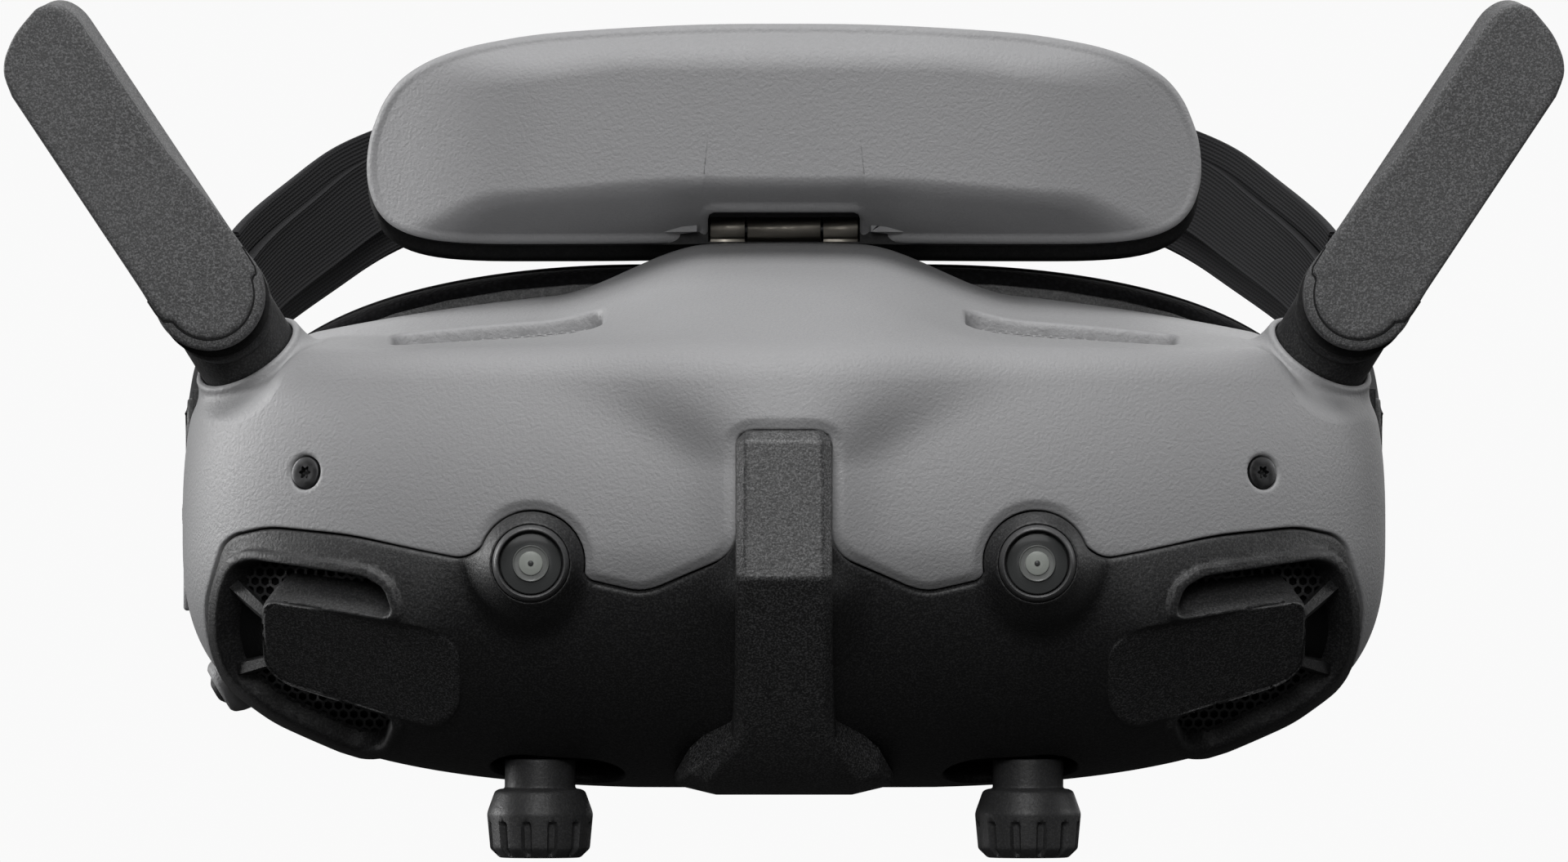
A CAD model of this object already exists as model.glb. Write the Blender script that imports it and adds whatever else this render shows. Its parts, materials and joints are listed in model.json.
"""Looks of the FPV goggles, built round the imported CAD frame.

Metres, +Z up, the front towards -Y.  "left" and "right" are the viewer's.
"""

import itertools
import json
import math

import bmesh
import bpy
import numpy as np
from mathutils import Matrix, Vector


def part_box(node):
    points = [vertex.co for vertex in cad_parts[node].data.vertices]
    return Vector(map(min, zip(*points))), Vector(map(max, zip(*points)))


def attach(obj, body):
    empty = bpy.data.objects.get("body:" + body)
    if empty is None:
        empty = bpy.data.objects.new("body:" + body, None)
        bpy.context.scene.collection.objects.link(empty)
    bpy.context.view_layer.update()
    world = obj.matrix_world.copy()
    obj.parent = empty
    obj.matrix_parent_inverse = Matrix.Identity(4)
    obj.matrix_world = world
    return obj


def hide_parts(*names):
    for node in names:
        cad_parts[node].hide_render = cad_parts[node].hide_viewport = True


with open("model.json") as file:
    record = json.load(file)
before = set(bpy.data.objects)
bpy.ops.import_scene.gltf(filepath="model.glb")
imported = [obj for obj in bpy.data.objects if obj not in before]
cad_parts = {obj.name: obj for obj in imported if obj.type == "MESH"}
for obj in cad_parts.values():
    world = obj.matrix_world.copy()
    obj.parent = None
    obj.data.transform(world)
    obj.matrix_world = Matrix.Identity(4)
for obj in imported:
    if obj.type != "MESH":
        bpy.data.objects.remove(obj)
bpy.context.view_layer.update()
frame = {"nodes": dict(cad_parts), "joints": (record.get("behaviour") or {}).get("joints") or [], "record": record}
JOINTS = {joint["name"]: joint for joint in frame["joints"]}
SIDES = ((-1, "left"), (1, "right"))


def centre(node):
    """The middle of a CAD node's box."""
    low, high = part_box(node)
    return (low + high) / 2


def antenna_pivot(side):
    """The point that an antenna folds about."""
    name = "left" if side < 0 else "right"
    return Vector(JOINTS[f"antenna_{name}_fold"]["pos_m"])


# Body form, as in the CAD
BODY_HALF_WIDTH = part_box("upper_front_shell")[1].x
WIDEST_Z = 0.004
BOTTOM_Z = -0.0332
CREASE_Z = 0.02875
CREASE_ROUND = 0.004
SIDE_Y = -0.012
FRONT_DEPTH = 0.044
FOLD_Z = 0.002
PLAN_POWER = 2.4
CORNER_START, CORNER_DROP = 0.066, 0.0070
LIP_HALF_WIDTH, LIP_RISE, HUMP_FOOT = 0.0104, 0.0059, 0.033
RIDGE_HEIGHT = 0.0055
SIDE_SHARE = 0.13  # share of a skin column's parameter spent on the straight side
UNDERSIDE_TURN = math.radians(84)

# Openings in the skin
CAMERA = (abs(centre("camera_barrel_left").x), centre("camera_barrel_left").z)
SCREW = (abs(centre("front_screw_left").x), centre("front_screw_left").z)
KNOB_X = abs(centre("focus_knob_left").x)
KNOB_Y = centre("focus_knob_left").y
TOP_VENT = (-0.0552, -0.0260, -0.0325, -0.0195)  # low x, high x, low y, high y
STICK_SPOT = centre("menu_stick")
STICK_AXIS = Vector(JOINTS["menu_stick_press"]["axis"]).normalized()


# ---------------------------------------------------------------- mesh helpers


def smooth(low, high, value):
    """Rises softly from 0 at low to 1 at high."""
    t = np.clip((value - low) / (high - low), 0.0, 1.0)
    return t * t * (3 - 2 * t)


def soft_min(a, b, reach):
    """The lower of two heights, with a fillet of about reach where they cross."""
    share = np.clip(0.5 + 0.5 * (b - a) / reach, 0.0, 1.0)
    return b + (a - b) * share - reach * share * (1 - share)


def arc(middle, radius, start, end, count):
    """Points on an arc, angles in degrees."""
    turns = [math.radians(start + (end - start) * i / (count - 1)) for i in range(count)]
    return [(middle[0] + radius * math.cos(t), middle[1] + radius * math.sin(t)) for t in turns]


def bend(start, corner, end, t):
    """A point on the curve that sets out from start to corner and turns to end."""
    return (1 - t) ** 2 * start + 2 * t * (1 - t) * corner + t * t * end


def between(a, b, c, d, t):
    """A point between b and c on the smooth curve through a, b, c and d."""
    return 0.5 * (2 * b + (c - a) * t + (2 * a - 5 * b + 4 * c - d) * t * t
                  + (3 * b - a - 3 * c + d) * t**3)


def rounded(corners, radius, count=5):
    """A closed polygon with each corner cut back and rounded, by its own third value or radius."""
    made = []
    for i, corner in enumerate(corners):
        here = Vector(corner[:2])
        reach = corner[2] if len(corner) > 2 else radius
        before = (Vector(corners[i - 1][:2]) - here).normalized()
        after = (Vector(corners[(i + 1) % len(corners)][:2]) - here).normalized()
        start, end = here + before * reach, here + after * reach
        made += [tuple(bend(start, here, end, k / (count - 1))) for k in range(count)]
    return made


def outline_distance(points, outline):
    """Signed distance of 2D points to a closed outline, negative inside."""
    a = np.array(outline)
    b = np.roll(a, -1, axis=0)
    made = np.empty(len(points))
    for first in range(0, len(points), 8192):
        p = points[first : first + 8192, None, :]
        along = b - a
        t = np.clip(((p - a) * along).sum(-1) / np.maximum((along**2).sum(-1), 1e-18), 0, 1)
        gap = np.linalg.norm(p - (a + t[..., None] * along), axis=-1).min(1)
        rises = (a[:, 1] <= p[..., 1]) != (b[:, 1] <= p[..., 1])
        height = np.where(b[:, 1] == a[:, 1], 1.0, b[:, 1] - a[:, 1])
        cross_x = a[:, 0] + (p[..., 1] - a[:, 1]) / height * (b[:, 0] - a[:, 0])
        inside = (rises & (cross_x > p[..., 0])).sum(1) % 2 == 1
        made[first : first + 8192] = np.where(inside, -gap, gap)
    return made


def linked(name, data):
    """A new object in the scene."""
    obj = bpy.data.objects.new(name, data)
    bpy.context.scene.collection.objects.link(obj)
    return obj


def mesh_of(name, points, faces):
    """A new mesh."""
    mesh = bpy.data.meshes.new(name)
    mesh.from_pydata([tuple(p) for p in points], [], [tuple(f) for f in faces])
    return mesh


def piece(name, points, faces, finish, body, replaces=(), sharp=None):
    """A mesh object with a material that rides on a body and stands for CAD nodes."""
    mesh = mesh_of(name, points, faces)
    mesh.validate()
    return settle(linked(name, mesh), finish, body, replaces, sharp)


def settle(obj, finish, body, replaces=(), sharp=None):
    """Gives the object clean normals, its finish and the body that it rides on."""
    shape = bmesh.new()
    shape.from_mesh(obj.data)
    bmesh.ops.remove_doubles(shape, verts=shape.verts, dist=2e-6)
    bmesh.ops.recalc_face_normals(shape, faces=shape.faces)
    shape.to_mesh(obj.data)
    shape.free()
    obj.data.shade_smooth()
    if sharp is not None:
        obj.data.set_sharp_from_angle(angle=math.radians(sharp))
    obj.data.materials.clear()
    obj.data.materials.append(finish)
    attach(obj, body)
    if replaces:
        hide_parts(*replaces)
    return obj


def loft(rings, cap=True, closed=False):
    """Points and faces of a tube through rings of equal length."""
    size, count = len(rings[0]), len(rings)
    points = [p for ring in rings for p in ring]
    faces = []
    for i in range(count if closed else count - 1):
        for k in range(size):
            a, b = i * size, ((i + 1) % count) * size
            faces.append((a + k, a + (k + 1) % size, b + (k + 1) % size, b + k))
    if cap and not closed:
        faces += [tuple(range(size)), tuple(range(len(points) - size, len(points)))]
    return points, faces


def sheet(lines, by):
    """A thin closed sheet through lines of points, thickened by a step in space."""
    return loft([line + [tuple(np.add(p, by)) for p in reversed(line)] for line in lines])


def offset(outline, by):
    """The closed outline moved out by a distance, or in where it is negative."""
    a = np.array(outline)
    before, after = np.roll(a, 1, axis=0), np.roll(a, -1, axis=0)
    area = (before[:, 0] * a[:, 1] - a[:, 0] * before[:, 1]).sum()
    into = (a - before) / np.linalg.norm(a - before, axis=1)[:, None]
    out = (after - a) / np.linalg.norm(after - a, axis=1)[:, None]
    first, second = into[:, ::-1] * (1, -1), out[:, ::-1] * (1, -1)
    normal = first + second
    normal /= np.linalg.norm(normal, axis=1)[:, None]
    reach = by / np.maximum(0.35, (normal * first).sum(1))
    return a + math.copysign(1, area) * reach[:, None] * normal


def shaped_slab(steps):
    """A closed loft through (outline in x and z, y) steps."""
    return loft([[(x, y, z) for x, z in outline] for outline, y in steps])


def axis_frame(origin, axis):
    """The placement that puts a shape's z axis along a direction."""
    turn = Vector(axis).to_track_quat("Z", "Y").to_matrix().to_4x4()
    return Matrix.Translation(Vector(origin)) @ turn


POINT_RADIUS = 1e-6  # a ring that stands for a point on the axis
SHEET = 0.0006


def turned(profile, origin, axis, segments=72):
    """A solid of revolution from (radius, height) pairs, closed at both ends."""
    place = axis_frame(origin, axis)
    turns = [2 * math.pi * k / segments for k in range(segments)]
    rings = []
    for radius, height in profile:
        radius = max(radius, POINT_RADIUS)
        rings.append([place @ Vector((radius * math.cos(t), radius * math.sin(t), height)) for t in turns])
    return loft(rings)


def softened(profile, edge, steps=3):
    """A profile whose inner corners are rounded by edge."""
    made = [profile[0]]
    for before, here, after in zip(profile, profile[1:], profile[2:]):
        here, before, after = Vector(here), Vector(before), Vector(after)
        into, out = before - here, after - here
        reach = min(edge, into.length * 0.45, out.length * 0.45)
        start, end = here + into.normalized() * reach, here + out.normalized() * reach
        made += [tuple(bend(start, here, end, k / steps)) for k in range(steps + 1)]
    return made + [profile[-1]]


def round_edges(obj, width, segments, angle):
    """Rounds the edges that are sharper than an angle in degrees."""
    bevel = obj.modifiers.new("edges", "BEVEL")
    bevel.width = width
    bevel.segments = segments
    bevel.limit_method = "ANGLE"
    bevel.angle_limit = math.radians(angle)
    bevel.harden_normals = True


def on_side(side, p):
    """The left side's point p, on either side."""
    return (-side * p.x, p.y, p.z)


def joined(*parts):
    """Several (points, faces) as one."""
    points, faces = [], []
    for some_points, some_faces in parts:
        base = len(points)
        points += list(some_points)
        faces += [tuple(i + base for i in face) for face in some_faces]
    return points, faces


# ---------------------------------------------------------------- materials


def feed(tree, target, value):
    """Gives a node's input a plain value or another node's output."""
    if isinstance(value, bpy.types.NodeSocket):
        tree.links.new(value, target)
    else:
        target.default_value = value


def add_node(tree, kind, **inputs):
    """A new node with some of its inputs set."""
    made = tree.nodes.new("ShaderNode" + kind)
    for name, value in inputs.items():
        feed(tree, made.inputs[name.replace("_", " ")], value)
    return made


def shade(colour, share):
    """A darker or lighter tone of a colour."""
    return [c * share for c in colour]


class Finish:
    """A node material that is built up step by step."""

    def __init__(self, name, slot, colour, roughness, metallic=0.0):
        self.material = bpy.data.materials.new(name)
        self.material.use_nodes = True
        self.material["slot"] = slot
        self.tree = self.material.node_tree
        self.place = add_node(self.tree, "TexCoord").outputs["Object"]
        self.set(Base_Color=(*colour, 1.0), Roughness=roughness, Metallic=metallic)

    def set(self, **inputs):
        """Sets inputs of the shader, to plain values or to other nodes' outputs."""
        shader = self.tree.nodes["Principled BSDF"]
        for name, value in inputs.items():
            feed(self.tree, shader.inputs[name.replace("_", " ")], value)

    def texture(self, kind, **inputs):
        """The main output of a texture in the object's own coordinates."""
        return add_node(self.tree, "Tex" + kind, Vector=self.place, **inputs).outputs[0]

    def ranged(self, value, low, high, to_low=0.0, to_high=1.0):
        """Maps a value from one range to another."""
        made = add_node(self.tree, "MapRange", Value=value, From_Min=low, From_Max=high,
                        To_Min=to_low, To_Max=to_high)
        return made.outputs["Result"]

    def mix(self, factor, first, second):
        """Goes from the first colour, or output, to the second as factor goes from 0 to 1."""
        made = add_node(self.tree, "Mix")
        made.data_type = "RGBA"
        feed(self.tree, made.inputs["Factor"], factor)
        feed(self.tree, made.inputs["A"], (*first, 1.0) if isinstance(first, list) else first)
        feed(self.tree, made.inputs["B"], (*second, 1.0))
        return made.outputs["Result"]

    def bump(self, height, distance, strength=1.0, under=None):
        """Bumps the shader by a height, on top of an earlier bump if there is one."""
        made = add_node(self.tree, "Bump", Distance=distance, Strength=strength, Height=height)
        if under is not None:
            feed(self.tree, made.inputs["Normal"], under)
        self.set(Normal=made.outputs["Normal"])
        return made.outputs["Normal"]


def moulded(name, slot, colour, roughness, grain, depth, fleck=0.0, shift=0.12, shine=0.5):
    """Moulded plastic: a pebbled grain, slow changes of tone and fine bright flecks."""
    made = Finish(name, slot, colour, roughness)
    pebble = made.texture("Noise", Scale=grain, Detail=3.0, Roughness=0.55)
    drift = made.texture("Noise", Scale=45.0, Detail=2.0)
    base = made.mix(made.ranged(drift, 0.3, 0.7), shade(colour, 1 - shift), shade(colour, 1 + shift))
    if fleck:
        speck = made.texture("Noise", Scale=grain * 1.7, Detail=1.0)
        base = made.mix(made.ranged(speck, 0.45, 0.68), base, (fleck, fleck, fleck * 1.02))
    rough = made.ranged(pebble, 0.3, 0.7, roughness - 0.07, roughness + 0.07)
    made.set(Base_Color=base, Specular_IOR_Level=shine, Roughness=rough)
    made.bump(pebble, depth)
    return made.material


def metal(name, slot, colour, roughness):
    """Satin metal with fine turning marks."""
    made = Finish(name, slot, colour, roughness, 1.0)
    marks = made.texture("Noise", Scale=900.0, Detail=2.0)
    made.set(Roughness=made.ranged(marks, 0.3, 0.7, roughness - 0.08, roughness + 0.1))
    made.bump(marks, 0.00002)
    return made.material


def woven(name, slot, colour, pitch, depth):
    """Webbing: warp ribs along the strap crossed by weft, from the piece's own weave coordinates."""
    made = Finish(name, slot, colour, 0.8)
    place = add_node(made.tree, "Attribute")
    place.attribute_name = "weave"
    split = add_node(made.tree, "SeparateXYZ", Vector=place.outputs["Vector"])

    def sums(operation, *values):
        total = add_node(made.tree, "Math")
        total.operation = operation
        for target, value in zip(total.inputs, values):
            feed(made.tree, target, value)
        return total.outputs[0]

    def wave(source, step, shift):
        return sums("SINE", sums("MULTIPLY_ADD", source, 2 * math.pi / step, shift))

    ribs = wave(split.outputs["Y"], pitch, 0.0)
    weft = wave(split.outputs["X"], pitch * 1.3, made.ranged(ribs, -1.0, 1.0, 0.0, math.pi))
    raised = made.ranged(sums("MULTIPLY_ADD", weft, 0.35, ribs), -1.35, 1.35)
    fuzz = made.texture("Noise", Scale=3500.0, Detail=2.0)
    made.set(Base_Color=made.mix(raised, shade(colour, 0.35), shade(colour, 1.6)), Specular_IOR_Level=0.15)
    made.bump(fuzz, 0.00004, 1.0, made.bump(raised, depth))
    return made.material


def knitted(name, slot, colour, scale, depth, sheen):
    """Soft cover: a small closed-cell or knitted surface with a dull sheen."""
    made = Finish(name, slot, colour, 0.92)
    cells = made.texture("Voronoi", Scale=scale)
    fuzz = made.texture("Noise", Scale=scale * 0.12, Detail=4.0)
    tone = made.ranged(cells, 0.0, 0.7, 1.0, 0.0)
    made.set(Base_Color=made.mix(tone, shade(colour, 0.5), shade(colour, 1.5)), Sheen_Weight=sheen,
             Specular_IOR_Level=0.12)
    made.bump(fuzz, 0.0002, 0.6, made.bump(tone, depth))
    return made.material


def glass(name, slot, colour, roughness=0.04, coat=1.0):
    """Coated glass over a dark well: a tint that moves with the angle, and faint smears."""
    made = Finish(name, slot, colour, roughness)
    smear = made.texture("Noise", Scale=220.0, Detail=2.0)
    facing = add_node(made.tree, "LayerWeight", Blend=0.35).outputs["Facing"]
    made.set(Base_Color=made.mix(facing, list(colour), shade(colour, 0.4)),
             Roughness=made.ranged(smear, 0.35, 0.65, roughness, roughness + 0.04),
             Coat_Weight=coat, Coat_Roughness=0.02, Specular_IOR_Level=0.5 * max(coat, 0.3))
    return made.material


SHELL_GREY = moulded("shell_grey", "shell_grey", (0.265, 0.265, 0.27), 0.55, 2100.0, 0.00011, shift=0.02)
COVER_BLACK = moulded("cover_black", "cover_black", (0.009, 0.009, 0.0095), 0.56, 2100.0, 0.00009, 0.034)
PLATE_BLACK = moulded("plate_black", "cover_black", (0.014, 0.014, 0.0145), 0.62, 2300.0, 0.00014, 0.085)
PADDLE_BLACK = moulded("paddle_black", "cover_black", (0.048, 0.048, 0.049), 0.55, 2500.0, 0.00008, 0.135)
SPINE_BLACK = moulded("spine_black", "cover_black", (0.016, 0.016, 0.0165), 0.52, 2200.0, 0.0001, 0.095,
                      shine=0.6)
DEEP_BLACK = moulded("deep_black", "cover_black", (0.006, 0.006, 0.0065), 0.6, 1800.0, 0.00006, 0.01,
                     shine=0.3)
BEZEL_GREY = moulded("bezel_grey", "cover_black", (0.050, 0.050, 0.051), 0.45, 2600.0, 0.00003, 0.07)
KNOB_BLACK = moulded("knob_black", "cover_black", (0.032, 0.032, 0.033), 0.5, 2200.0, 0.00005, 0.05)
FOAM_BLACK = knitted("foam_black", "soft_black", (0.004, 0.004, 0.0045), 1500.0, 0.00010, 0.01)
WEBBING = woven("webbing", "webbing", (0.015, 0.015, 0.016), 0.00055, 0.00011)
WEBBING_EDGE = woven("webbing_edge", "webbing", (0.004, 0.004, 0.0045), 0.0006, 0.00010)
HINGE_METAL = metal("hinge_metal", "hinge_metal", (0.20, 0.186, 0.162), 0.42)
STEEL = metal("screw_steel", "steel", (0.085, 0.085, 0.087), 0.45)
ALUMINIUM = metal("aluminium", "aluminium", (0.55, 0.55, 0.57), 0.4)
LENS_GLASS = glass("lens_glass", "lens_glass", (0.048, 0.050, 0.050), 0.22, 0.05)
LENS_RING = glass("lens_ring", "lens_glass", (0.14, 0.145, 0.14), 0.25, 0.1)
LENS_CORE = glass("lens_core", "lens_glass", (0.27, 0.285, 0.265), 0.25, 0.1)
EYE_GLASS = glass("eye_glass", "lens_glass", (0.02, 0.024, 0.034))
DISPLAY = glass("display", "display", (0.02, 0.03, 0.05), 0.1)
BOARD_GREEN = moulded("board_green", "board_green", (0.03, 0.12, 0.06), 0.45, 700.0, 0.00003, 0.1)
CELL_WRAP = moulded("cell_wrap", "cell_wrap", (0.06, 0.10, 0.20), 0.4, 500.0, 0.00002)


# ---------------------------------------------------------------- body form


def half_width(z):
    """Half the body's width at a height."""
    low = np.clip((WIDEST_Z - z) / (WIDEST_Z - BOTTOM_Z), 0.0, 1.0)
    high = np.maximum(z - WIDEST_Z, 0.0) / 0.020
    return BODY_HALF_WIDTH * (1 - low**3) ** (1 / 3) - 0.0022 * high**2.5


def front_depth(z):
    """How far the front stands before the side's line at a height."""
    low = np.clip((FOLD_Z - z) / (FOLD_Z - BOTTOM_Z), 0.0, 1.0)
    high = np.maximum(z - FOLD_Z, 0.0) / (CREASE_Z - FOLD_Z)
    return FRONT_DEPTH * (1 - low**1.8) ** 0.625 - 0.006 * high**2


def ridge(x, z):
    """The centre swelling that runs down from the hump and holds the spine."""
    width = 0.0095 + 0.0125 * smooth(0.012, CREASE_Z, z)
    return RIDGE_HEIGHT * smooth(-0.016, -0.004, z) * np.exp(-((np.abs(x) / width) ** 2.6))


def crease_z(x):
    """Height of the crease between the front and the top shelf."""
    return CREASE_Z - CORNER_DROP * smooth(CORNER_START, BODY_HALF_WIDTH, np.abs(x))


def rear_edge_z(x):
    """Height of the shelf's rear edge, with the hump in the middle."""
    hump = LIP_RISE * (1 - smooth(LIP_HALF_WIDTH, HUMP_FOOT, np.abs(x)))
    drop = CORNER_DROP * smooth(CORNER_START, BODY_HALF_WIDTH, np.abs(x))
    return 0.0384 - 0.0068 * (x / 0.0667) ** 2 + hump - drop


def ring_xy(s, z):
    """The body's outline at a height; s runs from -1 to 1 round the front."""
    a = np.abs(s)
    turn = np.clip(a / (1 - SIDE_SHARE), 0.0, 1.0) * math.pi / 2
    wide = half_width(z)
    x = np.sign(s) * wide * np.sin(turn) ** (2 / PLAN_POWER)
    y = SIDE_Y - front_depth(z) * np.maximum(np.cos(turn), 0.0) ** (2 / PLAN_POWER)
    y = np.where(a > 1 - SIDE_SHARE, SIDE_Y * (1 - a) / SIDE_SHARE, y - ridge(x, z))
    return x, y


def crease_point(s):
    """The sharp corner that the rounded crease is drawn round."""
    z = crease_z(ring_xy(s, np.full_like(s, CREASE_Z))[0])
    return (*ring_xy(s, z), z)


def shelf_point(s, w):
    """The top shelf; w runs from 0 at the crease to 1 at the rear edge."""
    x0, y0, z0 = crease_point(s)
    inset = 0.0055 + 0.006 * (1 - smooth(0.87, 1.0, np.abs(s)))
    x1 = x0 * (1 - inset / BODY_HALF_WIDTH)
    x = x0 + (x1 - x0) * w
    swell = 0.35 * (1 - smooth(0.008, 0.034, np.abs(x)))
    share = w + swell * w * (1 - w)
    return x, y0 * (1 - w), z0 + (rear_edge_z(x1) - z0) * share


def body_point(s, v):
    """The bare skin. v: -1.1 to -1 the flat underside, to 0 the lower front, to 1 the upper
    front, to 1.3 the rounded crease, to 2.3 the shelf's rear edge."""
    turn = np.clip(-v, 0.0, 1.0) * UNDERSIDE_TURN
    corner = np.stack(crease_point(s), -1)
    top = corner[:, 2] - CREASE_ROUND
    z = np.where(v < 0, WIDEST_Z + (BOTTOM_Z - WIDEST_Z) * np.sin(turn),
                 WIDEST_Z + (top - WIDEST_Z) * np.clip(v, 0.0, 1.0))
    x, y = ring_xy(s, z)
    x = x * np.clip((v + 1.1) / 0.1, 0.0, 1.0)
    low = np.stack((x, y, z), -1)
    reach = CREASE_ROUND / np.maximum(CREASE_ROUND, np.abs(corner[:, 1]))
    start = np.stack((*ring_xy(s, top), top), -1)
    end = np.stack(shelf_point(s, reach), -1)
    t = np.clip((v - 1) / 0.3, 0.0, 1.0)[:, None]
    crease = bend(start, corner, end, t)
    shelf = np.stack(shelf_point(s, reach + (1 - reach) * np.clip(v - 1.3, 0.0, 1.0)), -1)
    v = v[:, None]
    return np.where(v <= 1, low, np.where(v < 1.3, crease, shelf))


def body_normal(s, v):
    """The bare skin's outward direction."""
    step = 1e-3
    across = body_point(s + step, v) - body_point(s - step, v)
    up = body_point(s, v + step) - body_point(s, v - step)
    normal = np.cross(across, up)
    return normal / np.maximum(np.linalg.norm(normal, axis=1), 1e-12)[:, None]


def front_y(x, z):
    """The bare front's y at a place seen from the front."""
    share = np.clip(np.abs(x) / half_width(z), 0.0, 1.0)
    return SIDE_Y - front_depth(z) * (1 - share**PLAN_POWER) ** (1 / PLAN_POWER) - ridge(x, z)


class Skin:
    """The body's skin as a fine grid, which named distance fields split along their levels."""

    SNAP = 0.00002  # a value this close to a level counts as on it
    WALL = 0.0018
    COLUMNS = 400
    ROWS = ((-1.1, -1.0, 2), (-1.0, 0.0, 66), (0.0, 1.0, 46), (1.0, 1.3, 10), (1.3, 2.3, 64))

    def __init__(self):
        s = np.linspace(-1, 1, self.COLUMNS + 1)
        v = np.concatenate([np.linspace(a, b, n, endpoint=False) for a, b, n in self.ROWS] + [[2.3]])
        self.sv = np.stack(np.meshgrid(s, v, indexing="ij"), -1).reshape(-1, 2)
        self.place = body_point(*self.sv.T)
        self.fields = {}
        tall = len(v)
        self.faces = [
            (i * tall + j, (i + 1) * tall + j, (i + 1) * tall + j + 1, i * tall + j + 1)
            for i in range(self.COLUMNS)
            for j in range(tall - 1)
        ]

    def measure(self, name, values):
        """Keeps a distance for each point of the skin under a name."""
        self.fields[name] = np.asarray(values, float)

    def cross(self, name, level):
        """For each face, whether the level passes through it, and its highest value."""
        values = self.fields[name] - level
        values[np.abs(values) < self.SNAP] = 0.0
        sizes = np.fromiter(map(len, self.faces), int, len(self.faces))
        flat = np.fromiter(itertools.chain.from_iterable(self.faces), int, sizes.sum())
        starts = np.concatenate(([0], np.cumsum(sizes)[:-1]))
        low = np.minimum.reduceat(values[flat], starts)
        high = np.maximum.reduceat(values[flat], starts)
        return values, low, high

    def split(self, name, *levels):
        """Cuts every face that a level of the field crosses, along that level."""
        for level in levels:
            values, low, high = self.cross(name, level)
            made, ends, faces = {}, [], []
            count = len(self.sv)
            for face, crossed in zip(self.faces, (low < 0) & (high > 0)):
                if not crossed:
                    faces.append(face)
                    continue
                above, below = [], []
                for i, a in enumerate(face):
                    b = face[(i + 1) % len(face)]
                    if values[a] >= 0:
                        above.append(a)
                    if values[a] <= 0:
                        below.append(a)
                    if values[a] * values[b] < 0:
                        key = (a, b) if a < b else (b, a)
                        if key not in made:
                            made[key] = count + len(ends)
                            ends.append(key)
                        above.append(made[key])
                        below.append(made[key])
                faces += [tuple(part) for part in (above, below) if len(part) > 2]
            self.faces = faces
            if not ends:
                continue
            a, b = np.array(ends).T
            t = values[a] / (values[a] - values[b])
            self.sv = np.vstack((self.sv, self.sv[a] + (self.sv[b] - self.sv[a]) * t[:, None]))
            for key, field in self.fields.items():
                self.fields[key] = np.append(field, field[a] + (field[b] - field[a]) * t)

    def keep(self, name, level):
        """Drops the faces below a level that the skin is already split along."""
        self.keep_faces(self.where(name, level))

    def where(self, name, level, above=True):
        """For each face, whether it lies on one side of a level that it is split along."""
        _, low, high = self.cross(name, level)
        return (low >= 0) if above else (high <= 0)

    def keep_faces(self, wanted):
        self.faces = [face for face, good in zip(self.faces, wanted) if good]

    def solid(self, drop, lift):
        """Points and faces of the pressed skin with its inner side and its rims."""
        outer = body_point(*self.sv.T)
        normal = body_normal(*self.sv.T)
        shaped = outer - normal * drop[:, None] + np.stack((0 * lift, -lift, 0 * lift), -1)
        inner = outer - normal * np.maximum(self.WALL, drop + 0.0006)[:, None]
        used = np.unique(np.fromiter(itertools.chain.from_iterable(self.faces), int))
        index = np.full(len(outer), -1)
        index[used] = np.arange(len(used))
        faces = [tuple(index[list(face)]) for face in self.faces]
        count = len(used)
        edges = {}
        for face in faces:
            for a, b in zip(face, face[1:] + face[:1]):
                edges[(a, b)] = edges.get((a, b), 0) + 1
        rims = [(b, a, a + count, b + count) for a, b in edges if (b, a) not in edges]
        back = [tuple(i + count for i in reversed(face)) for face in faces]
        return np.vstack((shaped[used], inner[used])), faces + back + rims


# ---------------------------------------------------------------- outlines on the front

SPINE_SLOT_X, SPINE_TOP_Z = 0.0069, 0.0178
FAR = 0.05  # the value of a distance field where it doesn't count
RIM = 0.00002  # a point this close to a cut lies on its rim
SEAM_GAP = 0.00010  # half the gap between the light shell and the dark cover
SCREW_POCKET = 0.00235
SLOT_LIP = 0.0004  # how far the top slots' rims run down their walls
VENT_WALL = 0.0007
POD_BORE = 0.0055
STICK_HOLE = 0.0026
BUTTON_GAP = 0.0003
POD_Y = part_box("camera_barrel_left")[0].y + 0.0012


def seam_outline():
    """The edge between the light shell and the dark cover, both halves, closed far below."""
    x, z = CAMERA
    left = [
        (-0.0052, SPINE_TOP_Z, 0.0014), (-SPINE_SLOT_X, SPINE_TOP_Z - 0.0012, 0.0010),
        (-SPINE_SLOT_X, 0.0023, 0.0016), (-0.0086, -0.0004, 0.0016),
        (-0.0184, -0.0050, 0.0016), (-0.0207, -0.0052, 0.0010), (-0.0276, -0.0036, 0.0008),
    ]
    ring = arc((-x, z), 0.0074, -12, 163, 25)
    far = [
        (-0.0448, -0.0005, 0.0016), (-0.0506, 0.0006, 0.002), (-0.0610, 0.0029, 0.003),
        (-0.0725, 0.0040, 0.002), (-0.0776, 0.0029, 0.001), (-0.0793, 0.0014, 0.001),
        (-0.0820, -0.0072, 0.003), (-0.0812, -0.0130, 0.002), (-0.0798, -0.0175, 0.001),
        (-0.0950, -0.0185, 0.0), (-0.0950, -0.0450, 0.0),
    ]
    half = left + [(a, b, 0.0) for a, b in ring] + far
    return rounded(half + [(-a, b, r) for a, b, r in reversed(half)], 0.0)


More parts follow.
